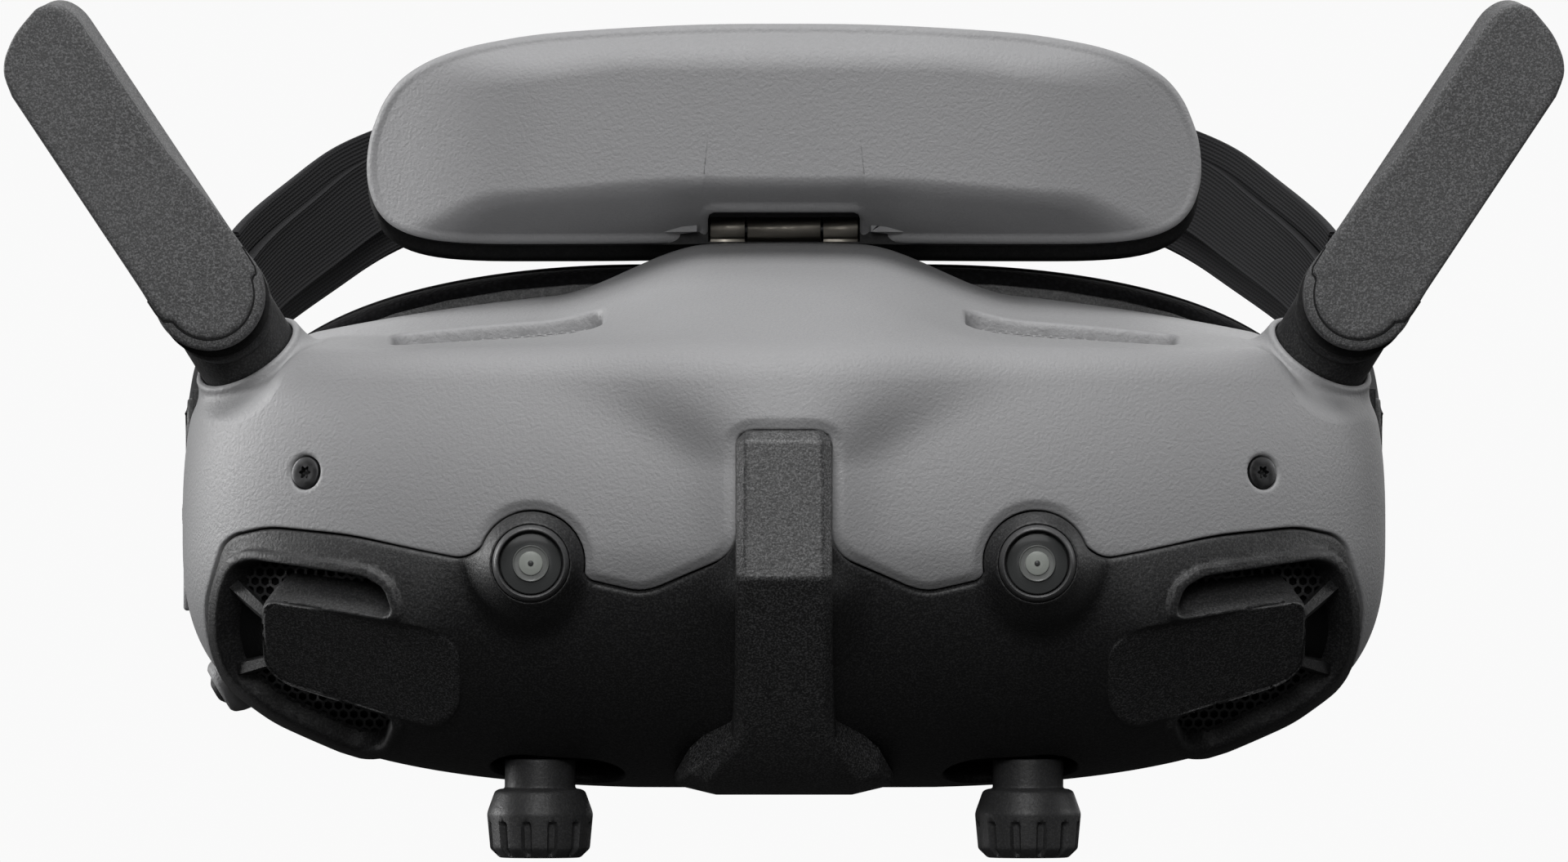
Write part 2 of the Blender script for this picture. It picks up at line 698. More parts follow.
VENT_OUTLINE = rounded([  # the C-shaped opening round the baffle, left side
    (-0.0793, -0.0062, 0.0020), (-0.0775, -0.0012, 0.0022), (-0.0745, -0.0006, 0.001),
    (-0.0588, -0.0028, 0.0010), (-0.0560, -0.0044, 0.0010), (-0.0548, -0.0080, 0.0008),
    (-0.0565, -0.0086, 0.0008), (-0.0713, -0.0064, 0.0008), (-0.0735, -0.0082, 0.0012),
    (-0.0731, -0.0158, 0.0016), (-0.0703, -0.0182, 0.0014), (-0.0564, -0.0226, 0.0010),
    (-0.0550, -0.0234, 0.0008), (-0.0567, -0.0271, 0.0014), (-0.0604, -0.0270, 0.0014),
    (-0.0712, -0.0222, 0.0020), (-0.0778, -0.0174, 0.0024), (-0.0796, -0.0120, 0.002),
], 0.001)
BAFFLE_OUTLINE = rounded([  # the flat plate inside the opening
    (-0.0735, -0.0060, 0.0022), (-0.0499, -0.0101, 0.0018), (-0.0453, -0.0126, 0.0022),
    (-0.0454, -0.0218, 0.0022), (-0.0486, -0.0244, 0.0016), (-0.0514, -0.0240, 0.002),
    (-0.0707, -0.0182, 0.0022), (-0.0733, -0.0156, 0.0016),
], 0.001)


def left_view(place):
    """(x, z) of each point, folded onto the left half."""
    return np.stack((-np.abs(place[:, 0]), place[:, 2]), -1)


def line_distance(place, origin, axis):
    """Distance of points from a line in space."""
    away = place - np.array(origin)
    axis = np.array(axis) / np.linalg.norm(axis)
    return np.linalg.norm(away - np.outer(away @ axis, axis), axis=1)


def screw_normal():
    """The direction that the right screw's head faces."""
    x, z = SCREW
    step = 0.0005
    dx = (front_y(x + step, z) - front_y(x - step, z)) / (2 * step)
    dz = (front_y(x, z + step) - front_y(x, z - step)) / (2 * step)
    return Vector((float(dx), -1.0, float(dz))).normalized()


def measure_side_openings(skin):
    """Distances from the menu stick's line and from the side button's edges."""
    stick = line_distance(skin.place, STICK_SPOT, STICK_AXIS)
    near = np.linalg.norm(skin.place - np.array(STICK_SPOT), axis=1) < 0.012
    skin.measure("stick", np.where(near, stick, FAR))
    low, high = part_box("back_button")
    away = np.maximum(np.abs(skin.place[:, 1] - (low.y + high.y) / 2) - (high.y - low.y) / 2,
                      np.abs(skin.place[:, 2] - (low.z + high.z) / 2) - (high.z - low.z) / 2)
    skin.measure("button", np.where(skin.place[:, 0] < -0.07, away, FAR))


def cut_side_openings(skin):
    """Opens the holes of the menu stick and the side button."""
    skin.split("stick", STICK_HOLE, 0.0029, 0.0034)
    skin.keep("stick", STICK_HOLE)
    skin.split("button", BUTTON_GAP, 0.0006)
    skin.keep("button", BUTTON_GAP)


def edge_round(distance, radius):
    """How far a rounded rim drops: nothing beyond radius, all of it at the edge."""
    t = np.clip(1 - distance / radius, 0.0, 1.0)
    return radius * (1 - np.sqrt(np.maximum(1 - t * t, 0.0)))


def light_shell(seam):
    """The light grey upper shell, with its chamfered seam, screw pockets and top slots.

    Gives the rim of the openings for the antenna bosses, with the skin's direction there.
    """
    skin = Skin()
    place = skin.place
    skin.measure("seam", outline_distance(place[:, [0, 2]], seam))
    normal = screw_normal()
    folded = place * (np.where(place[:, 0] > 0, 1, -1)[:, None] * (1, 0, 0) + (0, 1, 1))
    spot = (SCREW[0], float(front_y(*SCREW)), SCREW[1])
    screw = line_distance(folded, spot, normal)
    skin.measure("screw", np.where(place[:, 1] < -0.03, screw, FAR))
    x0, x1, y0, y1 = TOP_VENT
    slot = rounded([(x0, y0), (x1, y0), (x1, y1), (x0, y1)], 0.0026, 7)
    flat = np.stack((-np.abs(place[:, 0]), place[:, 1]), -1)
    top = outline_distance(flat, slot)
    skin.measure("slot", np.where(skin.sv[:, 1] > 1.05, top, FAR))
    hollow = outline_distance(flat, rounded([(-0.062, -0.040), (-0.021, -0.040),
                                             (-0.021, -0.012), (-0.062, -0.012)], 0.008, 7))
    skin.measure("hollow", np.where(skin.sv[:, 1] > 1.0, hollow, FAR))
    skin.measure("boss", boss_field(place))
    measure_side_openings(skin)
    skin.split("seam", SEAM_GAP, 0.00014, 0.00022, 0.00036, 0.0006, 0.0011, 0.0015, 0.0020)
    skin.keep("seam", SEAM_GAP)
    skin.split("screw", SCREW_POCKET, 0.00242, 0.00252, 0.0027, 0.0030)
    skin.keep("screw", SCREW_POCKET)
    skin.split("slot", -SLOT_LIP, 0.0, 0.0002, 0.0005, 0.0009)
    skin.split("boss", 0.0)
    skin.keep("boss", 0.0)
    skin.keep("slot", -SLOT_LIP)
    cut_side_openings(skin)
    seam_gap, screw_gap, slot_gap = (skin.fields[key] for key in ("seam", "screw", "slot"))
    chamfer, chamfer_width, chamfer_end = 0.0006, 0.0017, 0.038
    seam_wall, pocket_wall, slot_wall, hollow_depth = 0.0008, 0.0012, 0.0026, 0.0005
    inner = 1 - smooth(chamfer_end, chamfer_end + 0.008, np.abs(body_point(*skin.sv.T)[:, 0]))
    drop = chamfer * inner * (1 - smooth(SEAM_GAP, chamfer_width, seam_gap))
    drop = drop + edge_round(seam_gap - SEAM_GAP - RIM, 0.0003) + seam_wall * (seam_gap < SEAM_GAP + RIM)
    drop += edge_round(screw_gap - 0.0024, 0.0006) + pocket_wall * (screw_gap < SCREW_POCKET + RIM)
    drop += edge_round(slot_gap, 0.0009) + slot_wall * np.clip(-slot_gap / SLOT_LIP, 0.0, 1.0)
    drop += edge_round(skin.fields["stick"] - STICK_HOLE, 0.0008)
    drop += hollow_depth * (1 - smooth(-0.006, 0.004, skin.fields["hollow"]))
    points, faces = skin.solid(drop, 0 * drop)
    piece("upper_front_shell_skin", points, faces, SHELL_GREY, "root", ["upper_front_shell"], 50)
    used = np.unique(np.fromiter(itertools.chain.from_iterable(skin.faces), int))
    edge = used[np.abs(skin.fields["boss"][used]) < 1e-9]
    return body_point(*skin.sv[edge].T), body_normal(*skin.sv[edge].T)


def vent_measures(skin, place):
    """Fields of the side vents: the opening, the baffle and the ledge that runs up to it."""
    folded = left_view(place)
    baffle = outline_distance(folded, BAFFLE_OUTLINE)
    x, z = folded.T
    width = 0.0010 + 0.0020 * smooth(-0.0112, -0.0078, z) * smooth(-0.0745, -0.0720, x)
    skin.measure("vent", outline_distance(folded, VENT_OUTLINE))
    skin.measure("baffle", -baffle)
    skin.measure("ledge", baffle / width)


def cover_swell(x, z):
    """The cover leans forward from the seam down to the baffle's top edge, then falls away."""
    x = np.abs(x)
    across = smooth(0.0400, 0.0530, x) * (1 - smooth(0.0700, 0.0830, x))
    ridge_z = -0.0095 + 0.10 * (x - 0.055)
    rise = np.clip((0.0030 - z) / (0.0030 - ridge_z), 0.0, 1.0)
    fall = 1 - smooth(0.0, 0.0180, ridge_z - z)
    return 0.0036 * across * soft_min(rise, fall, 0.06)


def baffle_lift(points, inside):
    """How far the baffle's flat face stands in front of the bare skin."""
    x, z = -np.abs(points[:, 0]), points[:, 2]
    spots = np.array(BAFFLE_OUTLINE)
    skin_y = front_y(spots[:, 0], spots[:, 1]) - cover_swell(spots[:, 0], spots[:, 1])
    basis = np.stack((np.ones(len(spots)), spots[:, 0], spots[:, 1]), -1)
    plane = np.linalg.lstsq(basis, skin_y, rcond=None)[0]
    flat = plane[0] + plane[1] * x + plane[2] * z - 0.0007
    swell = cover_swell(x, z)
    return np.where(inside > 0, points[:, 1] - swell - flat, 0.0) * smooth(0.0, 0.00035, inside)


def dark_cover(seam):
    """The black lower cover, with the camera pods, vent openings, baffles and knob slots."""
    skin = Skin()
    place = skin.place
    folded = left_view(place)
    skin.measure("seam", -outline_distance(place[:, [0, 2]], seam))
    vent_measures(skin, place)
    pod = np.hypot(folded[:, 0] + CAMERA[0], folded[:, 1] - CAMERA[1])
    skin.measure("pod", pod)
    slot = np.hypot(np.maximum(np.abs(np.abs(place[:, 0]) - KNOB_X + 0.0025) - 0.004, 0.0),
                    place[:, 1] - KNOB_Y) - 0.0056
    skin.measure("knob", np.where(place[:, 2] < -0.015, slot, FAR))
    measure_side_openings(skin)
    skin.split("seam", SEAM_GAP, 0.00014, 0.00022, 0.0004, 0.0007)
    skin.keep("seam", SEAM_GAP)
    skin.split("vent", -VENT_WALL, -0.0004, 0.0, 0.00012, 0.0003, 0.0006, 0.0013, 0.0017)
    skin.split("ledge", 0.0, 0.12, 0.5, 1.0)
    skin.keep_faces(~(skin.where("vent", -VENT_WALL, False) & skin.where("ledge", 1.0)))
    skin.split("baffle", 0.00018, 0.00035)
    skin.split("pod", POD_BORE, 0.0057, 0.0059, 0.0062, 0.0066, 0.0072)
    skin.keep("pod", POD_BORE)
    skin.split("knob", 0.0, 0.0003)
    skin.keep("knob", 0.0)
    cut_side_openings(skin)
    fields = skin.fields
    points = body_point(*skin.sv.T)
    vent, ledge = fields["vent"], fields["ledge"]
    seam_wall, lip_height, vent_depth, flank_lift = 0.0010, 0.0007, 0.0046, 0.0028
    drop = edge_round(fields["seam"] - SEAM_GAP - RIM, 0.0005) + seam_wall * (fields["seam"] < SEAM_GAP + RIM)
    wall = np.clip(-vent / 0.0005, 0.0, 1.0)
    slope = np.clip(ledge, 0.0, 1.0)
    lip = lip_height * (1 - smooth(0.0013, 0.0017, vent)) * smooth(-0.0002, 0.0009, -fields["baffle"])
    drop += (edge_round(vent, 0.0005) - lip) * (vent > 0)
    drop += np.where(vent <= 0, vent_depth * np.minimum(wall, slope), 0.0)
    drop += edge_round(fields["stick"] - STICK_HOLE, 0.0008)
    near = 1 - smooth(0.0078, 0.0115, fields["pod"])
    pod_y = POD_Y + 1.5 * np.maximum(fields["pod"] - 0.0057, 0.0)
    lift = (points[:, 1] - soft_min(pod_y, points[:, 1], 0.0018)) * near
    lift += baffle_lift(points, fields["baffle"])
    x, z = np.abs(points[:, 0]), points[:, 2]
    lift += cover_swell(x, z) * (1 - near) * (points[:, 1] < -0.006)
    flank = np.exp(-((np.maximum(x - 0.0062, 0.0) / 0.0034) ** 2)) * (1 - smooth(-0.008, 0.0, z))
    lift += flank_lift * flank * smooth(-0.0335, -0.028, z)
    made = skin.solid(drop * (1 - near * 0.999 * (fields["seam"] > 0.0008)), lift)
    cover = piece("lower_front_cover_skin", *made, COVER_BLACK, "root", ["lower_front_cover"])
    mark_plates(cover)


def mark_plates(cover):
    """Gives the baffles' flat faces their coarser finish."""
    cover.data.materials.append(PLATE_BLACK)
    middles = np.array([polygon.center for polygon in cover.data.polygons])
    outward = np.array([polygon.normal for polygon in cover.data.polygons])[:, 1] < 0
    inside = outline_distance(left_view(middles), BAFFLE_OUTLINE) < -0.0002
    for polygon, plate in zip(cover.data.polygons, inside & outward):
        polygon.material_index = int(plate)


def spine():
    """The raised bar down the middle: a chamfered loft with rounded edges."""
    stations = [  # y, z of the face, half widths of face and foot, way in from +Y up, depth
        (-0.0602, 0.0176, 0.0043, 0.0053, 0, 0.0070),
        (-0.0622, 0.0161, 0.0054, 0.00675, 0, 0.0090),
        (-0.0652, -0.0031, 0.0055, 0.00675, 8, 0.0092),
        (-0.0608, -0.0093, 0.0055, 0.0068, 34, 0.0085),
        (-0.0560, -0.0150, 0.0055, 0.0069, 40, 0.0078),
        (-0.0500, -0.0214, 0.0056, 0.0070, 44, 0.0074),
        (-0.0445, -0.0266, 0.0060, 0.0073, 48, 0.0072),
        (-0.0400, -0.0296, 0.0088, 0.0104, 56, 0.0065),
        (-0.0360, -0.0319, 0.0108, 0.0134, 64, 0.0055),
        (-0.0320, -0.0333, 0.0104, 0.0148, 78, 0.0040),
        (-0.0290, -0.0338, 0.0096, 0.0154, 88, 0.0034),
        (-0.0160, -0.0338, 0.0096, 0.0154, 90, 0.0034),
    ]
    rings = []
    for y, z, face, foot, degrees, depth in stations:
        inward = Vector((math.cos(math.radians(degrees)), math.sin(math.radians(degrees))))
        mid, deep = Vector((y, z)) + inward * 0.0014, Vector((y, z)) + inward * depth
        half = [(face, y, z), (foot, mid.x, mid.y), (foot, deep.x, deep.y)]
        rings.append(half + [(-a, b, c) for a, b, c in reversed(half)])
    obj = piece("centre_spine", *loft(rings), SPINE_BLACK, "root", sharp=25)
    round_edges(obj, 0.00045, 4, 14)


def honeycomb(low, high, pitch, wall, thickness, inside, surface):
    """A sheet of hexagonal cells: inside(x, y) picks the cells, surface maps (x, y, depth)."""
    reach = pitch / math.sqrt(3)
    rows = int((high[1] - low[1]) / (reach * 1.5)) + 2
    columns = int((high[0] - low[0]) / pitch) + 2
    corners = [math.radians(30 + 60 * k) for k in range(6)]
    section = ((reach, 0), (reach - wall, 0), (reach - wall, thickness), (reach, thickness))
    cells = []
    for j in range(rows):
        for i in range(columns):
            x = low[0] + pitch * (i + 0.5 * (j % 2))
            y = low[1] + reach * 1.5 * j
            if inside(x, y):
                cells.append(loft([[surface(x + size * math.cos(t), y + size * math.sin(t), depth)
                                    for t in corners] for size, depth in section], closed=True))
    return joined(*cells)


def vent_meshes():
    """The honeycomb behind the side openings and under the top slots."""
    slot_low = (TOP_VENT[0] - 0.001, TOP_VENT[2] - 0.001)
    slot_high = (TOP_VENT[1] + 0.001, TOP_VENT[3] + 0.001)
    for side, name in SIDES:
        def in_vent(x, z):
            arms = z > -0.0072 or z < -0.0158
            return arms and outline_distance(np.array([[x, z]]), VENT_OUTLINE)[0] < 0.0008

        def on_front(x, z, depth):
            y = float(front_y(x, z) - 0.8 * cover_swell(x, z))
            return (-side * x, y + 0.0048 + depth, z)

        made = honeycomb((-0.0796, -0.0275), (-0.0545, 0.0), 0.00145, 0.00022, 0.0009, in_vent, on_front)
        piece(f"side_vent_grille_{name}", *made, KNOB_BLACK, "root", [f"side_vent_mesh_{name}"], 30)

        lines = []
        for z in np.linspace(-0.0262, 0.0, 15):
            reach = min(0.0790, float(half_width(z)) - 0.0042)
            lines.append([on_front(x, z, 0.0012) for x in np.linspace(-reach, -0.0555, 12)])
        piece(f"vent_duct_{name}", *sheet(lines, (0, SHEET, 0)), DEEP_BLACK, "root", sharp=40)

        def on_shelf(x, y, depth):
            z = 0.0319 - 0.092 * (abs(x) - 0.0406) + 0.152 * (y + 0.026) - 0.0022
            return (-side * x, y, z - depth)

        made = honeycomb(slot_low, slot_high, 0.0016, 0.00020, 0.0008, lambda x, y: True, on_shelf)
        piece(f"top_vent_grille_{name}", *made, SHELL_GREY, "root", [f"top_vent_mesh_{name}"], 30)
        across = np.linspace(slot_low[0] - 0.001, slot_high[0] + 0.001, 12)
        deep = np.linspace(slot_low[1] - 0.001, slot_high[1] + 0.001, 5)
        lines = [[on_shelf(x, y, 0.0016) for y in deep] for x in across]
        piece(f"top_vent_duct_{name}", *sheet(lines, (0, 0, -SHEET)), DEEP_BLACK, "root", sharp=40)


def vent_ribs():
    """Two struts on each side that hold the baffle in its opening."""
    for side, name in SIDES:
        parts = []
        for (xa, za), (xb, zb) in (((-0.0785, -0.0032), (-0.0722, -0.0088)),
                                   ((-0.0786, -0.0165), (-0.0722, -0.0148))):
            rings = []
            for t in np.linspace(0, 1, 7):
                x, z = xa + (xb - xa) * t, za + (zb - za) * t
                skin_y = front_y(min(abs(x), 0.0785), z) - cover_swell(x, z)
                y = float(skin_y) + 0.0012 + 0.001 * (1 - t)
                across = Vector((-(zb - za), xb - xa)).normalized() * (0.00085 - 0.0003 * t)
                rings.append([
                    (-side * (x - across.x), y, z - across.y), (-side * (x + across.x), y, z + across.y),
                    (-side * (x + across.x * 1.7), y + 0.0042, z + across.y * 1.7),
                    (-side * (x - across.x * 1.7), y + 0.0042, z - across.y * 1.7),
                ])
            parts.append(loft(rings))
        piece(f"vent_ribs_{name}", *joined(*parts), COVER_BLACK, "root", sharp=40)


# ---------------------------------------------------------------- antennas

TRUMPET_RIM = 0.0083
PADDLE_TILT = math.radians(123.7)
PADDLE_LEAN = 0.0013  # how far the inner side wall slopes in towards the front


def collar_line(side):
    """The collar's foot, its head and its direction; it leans a little forwards."""
    pivot = antenna_pivot(side)
    foot = Vector((side * 0.0752, -0.0196, 0.0272))
    head = Vector((pivot.x, -0.0247, pivot.z))
    return foot, head, (head - foot).normalized()


def boss_frame():
    """The left collar's foot and direction, with across (away from the middle) and deep (to the rear)."""
    foot, _, along = collar_line(-1)
    across = Vector((0, 1, 0)).cross(along).normalized()
    return foot, along, across, along.cross(across).normalized()


def boss_field(place):
    """Distance beyond the rim of the opening that the flared boss closes."""
    foot, along, across, deep = (np.array(v) for v in boss_frame())
    away = place - foot
    away[:, 0] = -np.abs(place[:, 0]) - foot[0]
    perp = away - np.outer(away @ along, along)
    u, w = perp @ across, perp @ deep
    u = u * np.where(u > 0, 1.15, 1.12)
    w = w * np.where(w > 0, 0.90, 0.68)
    return np.where(np.linalg.norm(away, axis=1) < 0.030, np.hypot(u, w) - 0.0122, FAR)


def trumpets(edge, normals):
    """The flared boss that runs from the shell's corner up to each collar."""
    left = edge[:, 0] < 0
    edge, normals = edge[left], normals[left]
    foot, along, across, deep = boss_frame()
    rim = foot + along * 0.0014
    lines = []
    for spot, normal in zip(edge, normals):
        spot, normal = Vector(spot), Vector(normal)
        away = spot - foot
        away -= along * away.dot(along)
        lines.append((math.atan2(away.dot(deep), away.dot(across)), spot, normal))
    lines.sort(key=lambda line: line[0])
    rings = []
    for angle, spot, normal in lines:
        out = across * math.cos(angle) + deep * math.sin(angle)
        start = rim + out * TRUMPET_RIM
        away = spot - start
        land = out - normal * out.dot(normal) - along * 0.5
        land = (land - normal * land.dot(normal)).normalized() * away.length * 1.15
        leave = (-along + out * 0.12).normalized() * away.length * 1.0
        line = [rim + out * 0.00735 - along * 0.0040, rim + out * 0.00735 - along * 0.0001,
                rim + out * 0.00740 + along * 0.00025, rim + out * 0.00755 + along * 0.0004,
                rim + out * 0.00805 + along * 0.0003]
        for i in range(17):
            t = i / 16
            a, b = 2 * t**3 - 3 * t**2 + 1, t**3 - 2 * t**2 + t
            c, d = -2 * t**3 + 3 * t**2, t**3 - t**2
            line.append(a * start + b * leave + c * spot + d * land)
        line.append(spot - normal * 0.0012)
        rings.append(line)
    for side, name in SIDES:
        columns = [[on_side(side, p) for p in line] for line in rings]
        points, faces = loft(list(map(list, zip(*columns))), cap=False)
        piece(f"antenna_boss_{name}", points, faces, SHELL_GREY, "root", sharp=60)


def spline(points, per):
    """A smooth open curve through 2D points."""
    spots = [points[0], *points, points[-1]]
    made = []
    for i in range(1, len(spots) - 2):
        near = [Vector(spots[i + k]) for k in (-1, 0, 1, 2)]
        made += [tuple(between(*near, k / per)) for k in range(per)]
    return made + [tuple(points[-1])]


def paddle_outline(side, foot_radius, inset, lean=0.0):
    """The antenna's outline: a round foot, straight sides and a soft, lopsided tip.

    lean takes the inner side in, so that the side wall there slopes.
    """
    half = 0.0076
    tip = spline([(half, 0.0400), (0.0075, 0.0428), (0.0067, 0.0450), (0.0053, 0.0464), (0.0034, 0.0469),
                  (0.0014, 0.0467), (-0.0006, 0.0462), (-0.0025, 0.0455), (-0.0042, 0.0445),
                  (-0.0057, 0.0433), (-0.0069, 0.0415), (-half, 0.0385)], 3)
    outer = [(-half, 0.0300), (-half, 0.0200), (-half, 0.0105)]
    inner = [(half, 0.0105), (half, 0.0200), (half, 0.0300)]
    if foot_radius > half:
        left = [(-half, 0.0078), (-half - 0.00002, 0.0055), (-half - 0.00012, 0.0032)]
        right = [(half + 0.0001, 0.0032), (half + 0.00002, 0.0055), (half, 0.0078)]
        foot = arc((0.0, 0.0), foot_radius, 170, 370, 35)
    else:
        left = [(-half, 0.0040), (-half, 0.0018), (-half + 0.0003, 0.0004), (-half + 0.0009, -0.0001)]
        foot = arc((0.0, 0.0), foot_radius, 184, 340, 31)
        right = [(foot_radius - 0.0002, -0.0017), (foot_radius + 0.0003, -0.0013),
                 (foot_radius + 0.0008, -0.0012), (half - 0.0001, -0.0004), (half, 0.0030)]
    local = tip + outer + left + foot + right + inner
    local = [(a - lean * float(smooth(0.0, 0.005, a)) * float(smooth(0.009, 0.015, b)), b) for a, b in local]
    pivot = antenna_pivot(side)
    along = Vector((-side * math.cos(PADDLE_TILT), math.sin(PADDLE_TILT)))
    across = Vector((along.y, -along.x)) * -side
    placed = [tuple(Vector((pivot.x, pivot.z)) + across * a + along * b) for a, b in local]
    return offset(placed, -inset)


def antennas():
    """Each antenna: front plate, back body with its disc, collar, saddle and pivot."""
    for side, name in SIDES:
        body = f"antenna_{name}"
        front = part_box(f"antenna_front_{name}")[0].y
        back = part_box(f"antenna_back_{name}")[1].y
        pivot = antenna_pivot(side)

        def plate_at(inset):
            return paddle_outline(side, 0.0063, inset, PADDLE_LEAN)

        def case_at(inset, lean_share):
            return paddle_outline(side, 0.0079, inset, PADDLE_LEAN * lean_share)

        steps = [(plate_at(0.0012), front), (plate_at(0.00045), front), (plate_at(0.00015), front + 0.0001),
                 (plate_at(0.00003), front + 0.00025), (plate_at(0.0), front + 0.0005),
                 (plate_at(0.0), front + 0.0012)]
        piece(f"antenna_plate_{name}", *shaped_slab(steps), PADDLE_BLACK, body, [f"antenna_front_{name}"], 40)
        steps = [(case_at(0.0020, 1), front + 0.0004), (case_at(0.0006, 1), front + 0.0004),
                 (case_at(0.0002, 1), front + 0.00055), (case_at(0.0, 1), front + 0.0009),
                 (case_at(0.0, 0.75), front + 0.0022), (case_at(0.0, 0.3), front + 0.0044),
                 (case_at(0.0, 0), back - 0.0009), (case_at(0.0003, 0), back - 0.0003),
                 (case_at(0.0009, 0), back), (case_at(0.0024, 0), back)]
        piece(f"antenna_case_{name}", *shaped_slab(steps), PADDLE_BLACK, body, [f"antenna_back_{name}"], 40)
        groove = [(x, front + 0.00042, z) for x, z in plate_at(-0.00008)]
        keep = [p for p in groove if (Vector((p[0], p[2])) - Vector((pivot.x, pivot.z))).length < 0.0094]
        keep.sort(key=lambda p: math.atan2(*axis_angle(p, pivot, side)))
        tube(f"antenna_seal_{name}", keep, 0.00013, DEEP_BLACK, body, closed=False)
        foot, _, along = collar_line(side)
        flat = Vector((along.x, 0, along.z)).normalized()
        profile = softened([(0, -0.003), (0.0070, -0.003), (0.0072, -0.002), (0.0072, 0.0020),
                            (0.0072, 0.0085), (0, 0.0085)], 0.0003)
        collar = turned(profile, foot, along)
        rear, face = -0.0150, back + 0.0003
        saddle = turned(softened([(0, rear), (0.0068, rear), (0.0073, rear - 0.0006), (0.0073, face + 0.0009),
                                  (0.0070, face + 0.0003), (0.0064, face), (0, face)], 0.0003),
                        Vector((pivot.x, 0, pivot.z)) - flat * 0.0028, (0, 1, 0))
        piece(f"antenna_neck_{name}", *joined(collar, saddle), COVER_BLACK, "root",
              [f"antenna_collar_{name}"], 35)
        shadow = turned([(0, -0.0190), (0.0078, -0.0190), (0.0078, face - 0.0001), (0, face - 0.0001)],
                        Vector((pivot.x, 0, pivot.z)) - flat * 0.0012, (0, 1, 0))
        piece(f"antenna_seat_{name}", *shadow, DEEP_BLACK, "root", sharp=35)
        cap = turned(softened([(0, 0.0), (0.0034, 0.0), (0.0040, -0.0004), (0.0040, -0.0008),
                               (0, -0.0008)], 0.0002), (pivot.x, -0.0148, pivot.z), (0, 1, 0), 48)
        piece(f"antenna_pivot_cap_{name}", *cap, STEEL, body, [f"antenna_pin_{name}"], 35)


def axis_angle(spot, pivot, side):
    """Sine and cosine parts of a spot's turn round the pivot, counted from the tip's far side."""
    along = Vector((-side * math.cos(PADDLE_TILT), math.sin(PADDLE_TILT)))
    away = Vector((spot[0], spot[2])) - Vector((pivot.x, pivot.z))
    return away.x * along.y - away.y * along.x, -away.dot(along)


# ---------------------------------------------------------------- cameras, screws, knobs


def cameras():
    """Each camera: a tube, a domed window and the lens rings behind it."""
    window = [(0, 0.0), (0.0043, 0.0), (0.0043, 0.0009), (0.0042, 0.00105), (0.0030, 0.0012),
              (0.0015, 0.00125), (0, 0.00126)]
    ring = [(0.0017, 0.0), (0.0026, 0.0), (0.00255, 0.00018), (0.00245, 0.00024), (0.0023, 0.00012),
            (0.0017, 0.00012)]
    iris = [(0, 0), (0.0017, 0.0), (0.0017, 0.00024), (0.0016, 0.00032), (0.0008, 0.0004), (0, 0.0004)]
    pupil = [(0, 0), (0.00042, 0), (0.0004, 0.00006), (0.0002, 0.00014), (0, 0.00016)]
    for side, name in SIDES:
        barrel, glass_node = f"camera_barrel_{name}", f"camera_glass_{name}"
        front, back = (corner.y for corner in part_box(barrel))
        face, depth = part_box(glass_node)[0].y, back - front
        tube_wall = [(0, 0), (0.0054, 0), (0.0054, depth - 0.0012), (0.0051, depth - 0.0003),
                     (0.0048, depth), (0.00462, depth - 0.00004), (0.0045, depth - 0.0005),
                     (0.00445, depth - 0.0026), (0, depth - 0.0026)]
        for part, profile, y, segments, finish, replaces in (
            ("tube", softened(tube_wall, 0.00012), back, 96, BEZEL_GREY, [barrel]),
            ("lens", softened(window, 0.0002), face + 0.0014, 96, LENS_GLASS, [glass_node]),
            ("ring", softened(ring, 0.00005), face + 0.00010, 72, LENS_RING, ()),
            ("iris", softened(iris, 0.0001), face + 0.00010, 72, LENS_CORE, ()),
            ("pupil", pupil, face - 0.00028, 32, LENS_GLASS, ()),
        ):
            made = turned(profile, (side * CAMERA[0], y, CAMERA[1]), (0, -1, 0), segments)
            piece(f"camera_{part}_{name}", *made, finish, "root", replaces, 35)


def front_screws():
    """Flat-headed screws with a six-pointed socket."""
    for side, name in SIDES:
        normal = screw_normal()
        normal.x *= side
        spot = Vector((side * SCREW[0], float(front_y(*SCREW)), SCREW[1]))
        place = axis_frame(spot - normal * 0.00005, normal)
        segments = 72
        turns = [2 * math.pi * k / segments for k in range(segments)]
        star = [0.00076 + 0.00017 * math.cos(6 * t) for t in turns]
        head = ((0.0021, -0.0040), (0.00222, -0.0015), (0.00222, -0.0003), (0.00215, -0.0001),
                (0.0019, 0.0), (0.0012, 0.0))
        socket = ((1, 0.00005, 0.0), (1, 0, -0.00008), (0.96, 0, -0.0010), (0.5, 0, -0.0011))
        rings = [[corner] * segments for corner in head]
        rings += [[(r * share + extra, height) for r in star] for share, extra, height in socket]
        made = [
            [place @ Vector((r * math.cos(t), r * math.sin(t), h)) for (r, h), t in zip(ring, turns)]
            for ring in rings
        ]
        piece(f"front_screw_head_{name}", *loft(made), STEEL, "root", [f"front_screw_{name}"], 35)


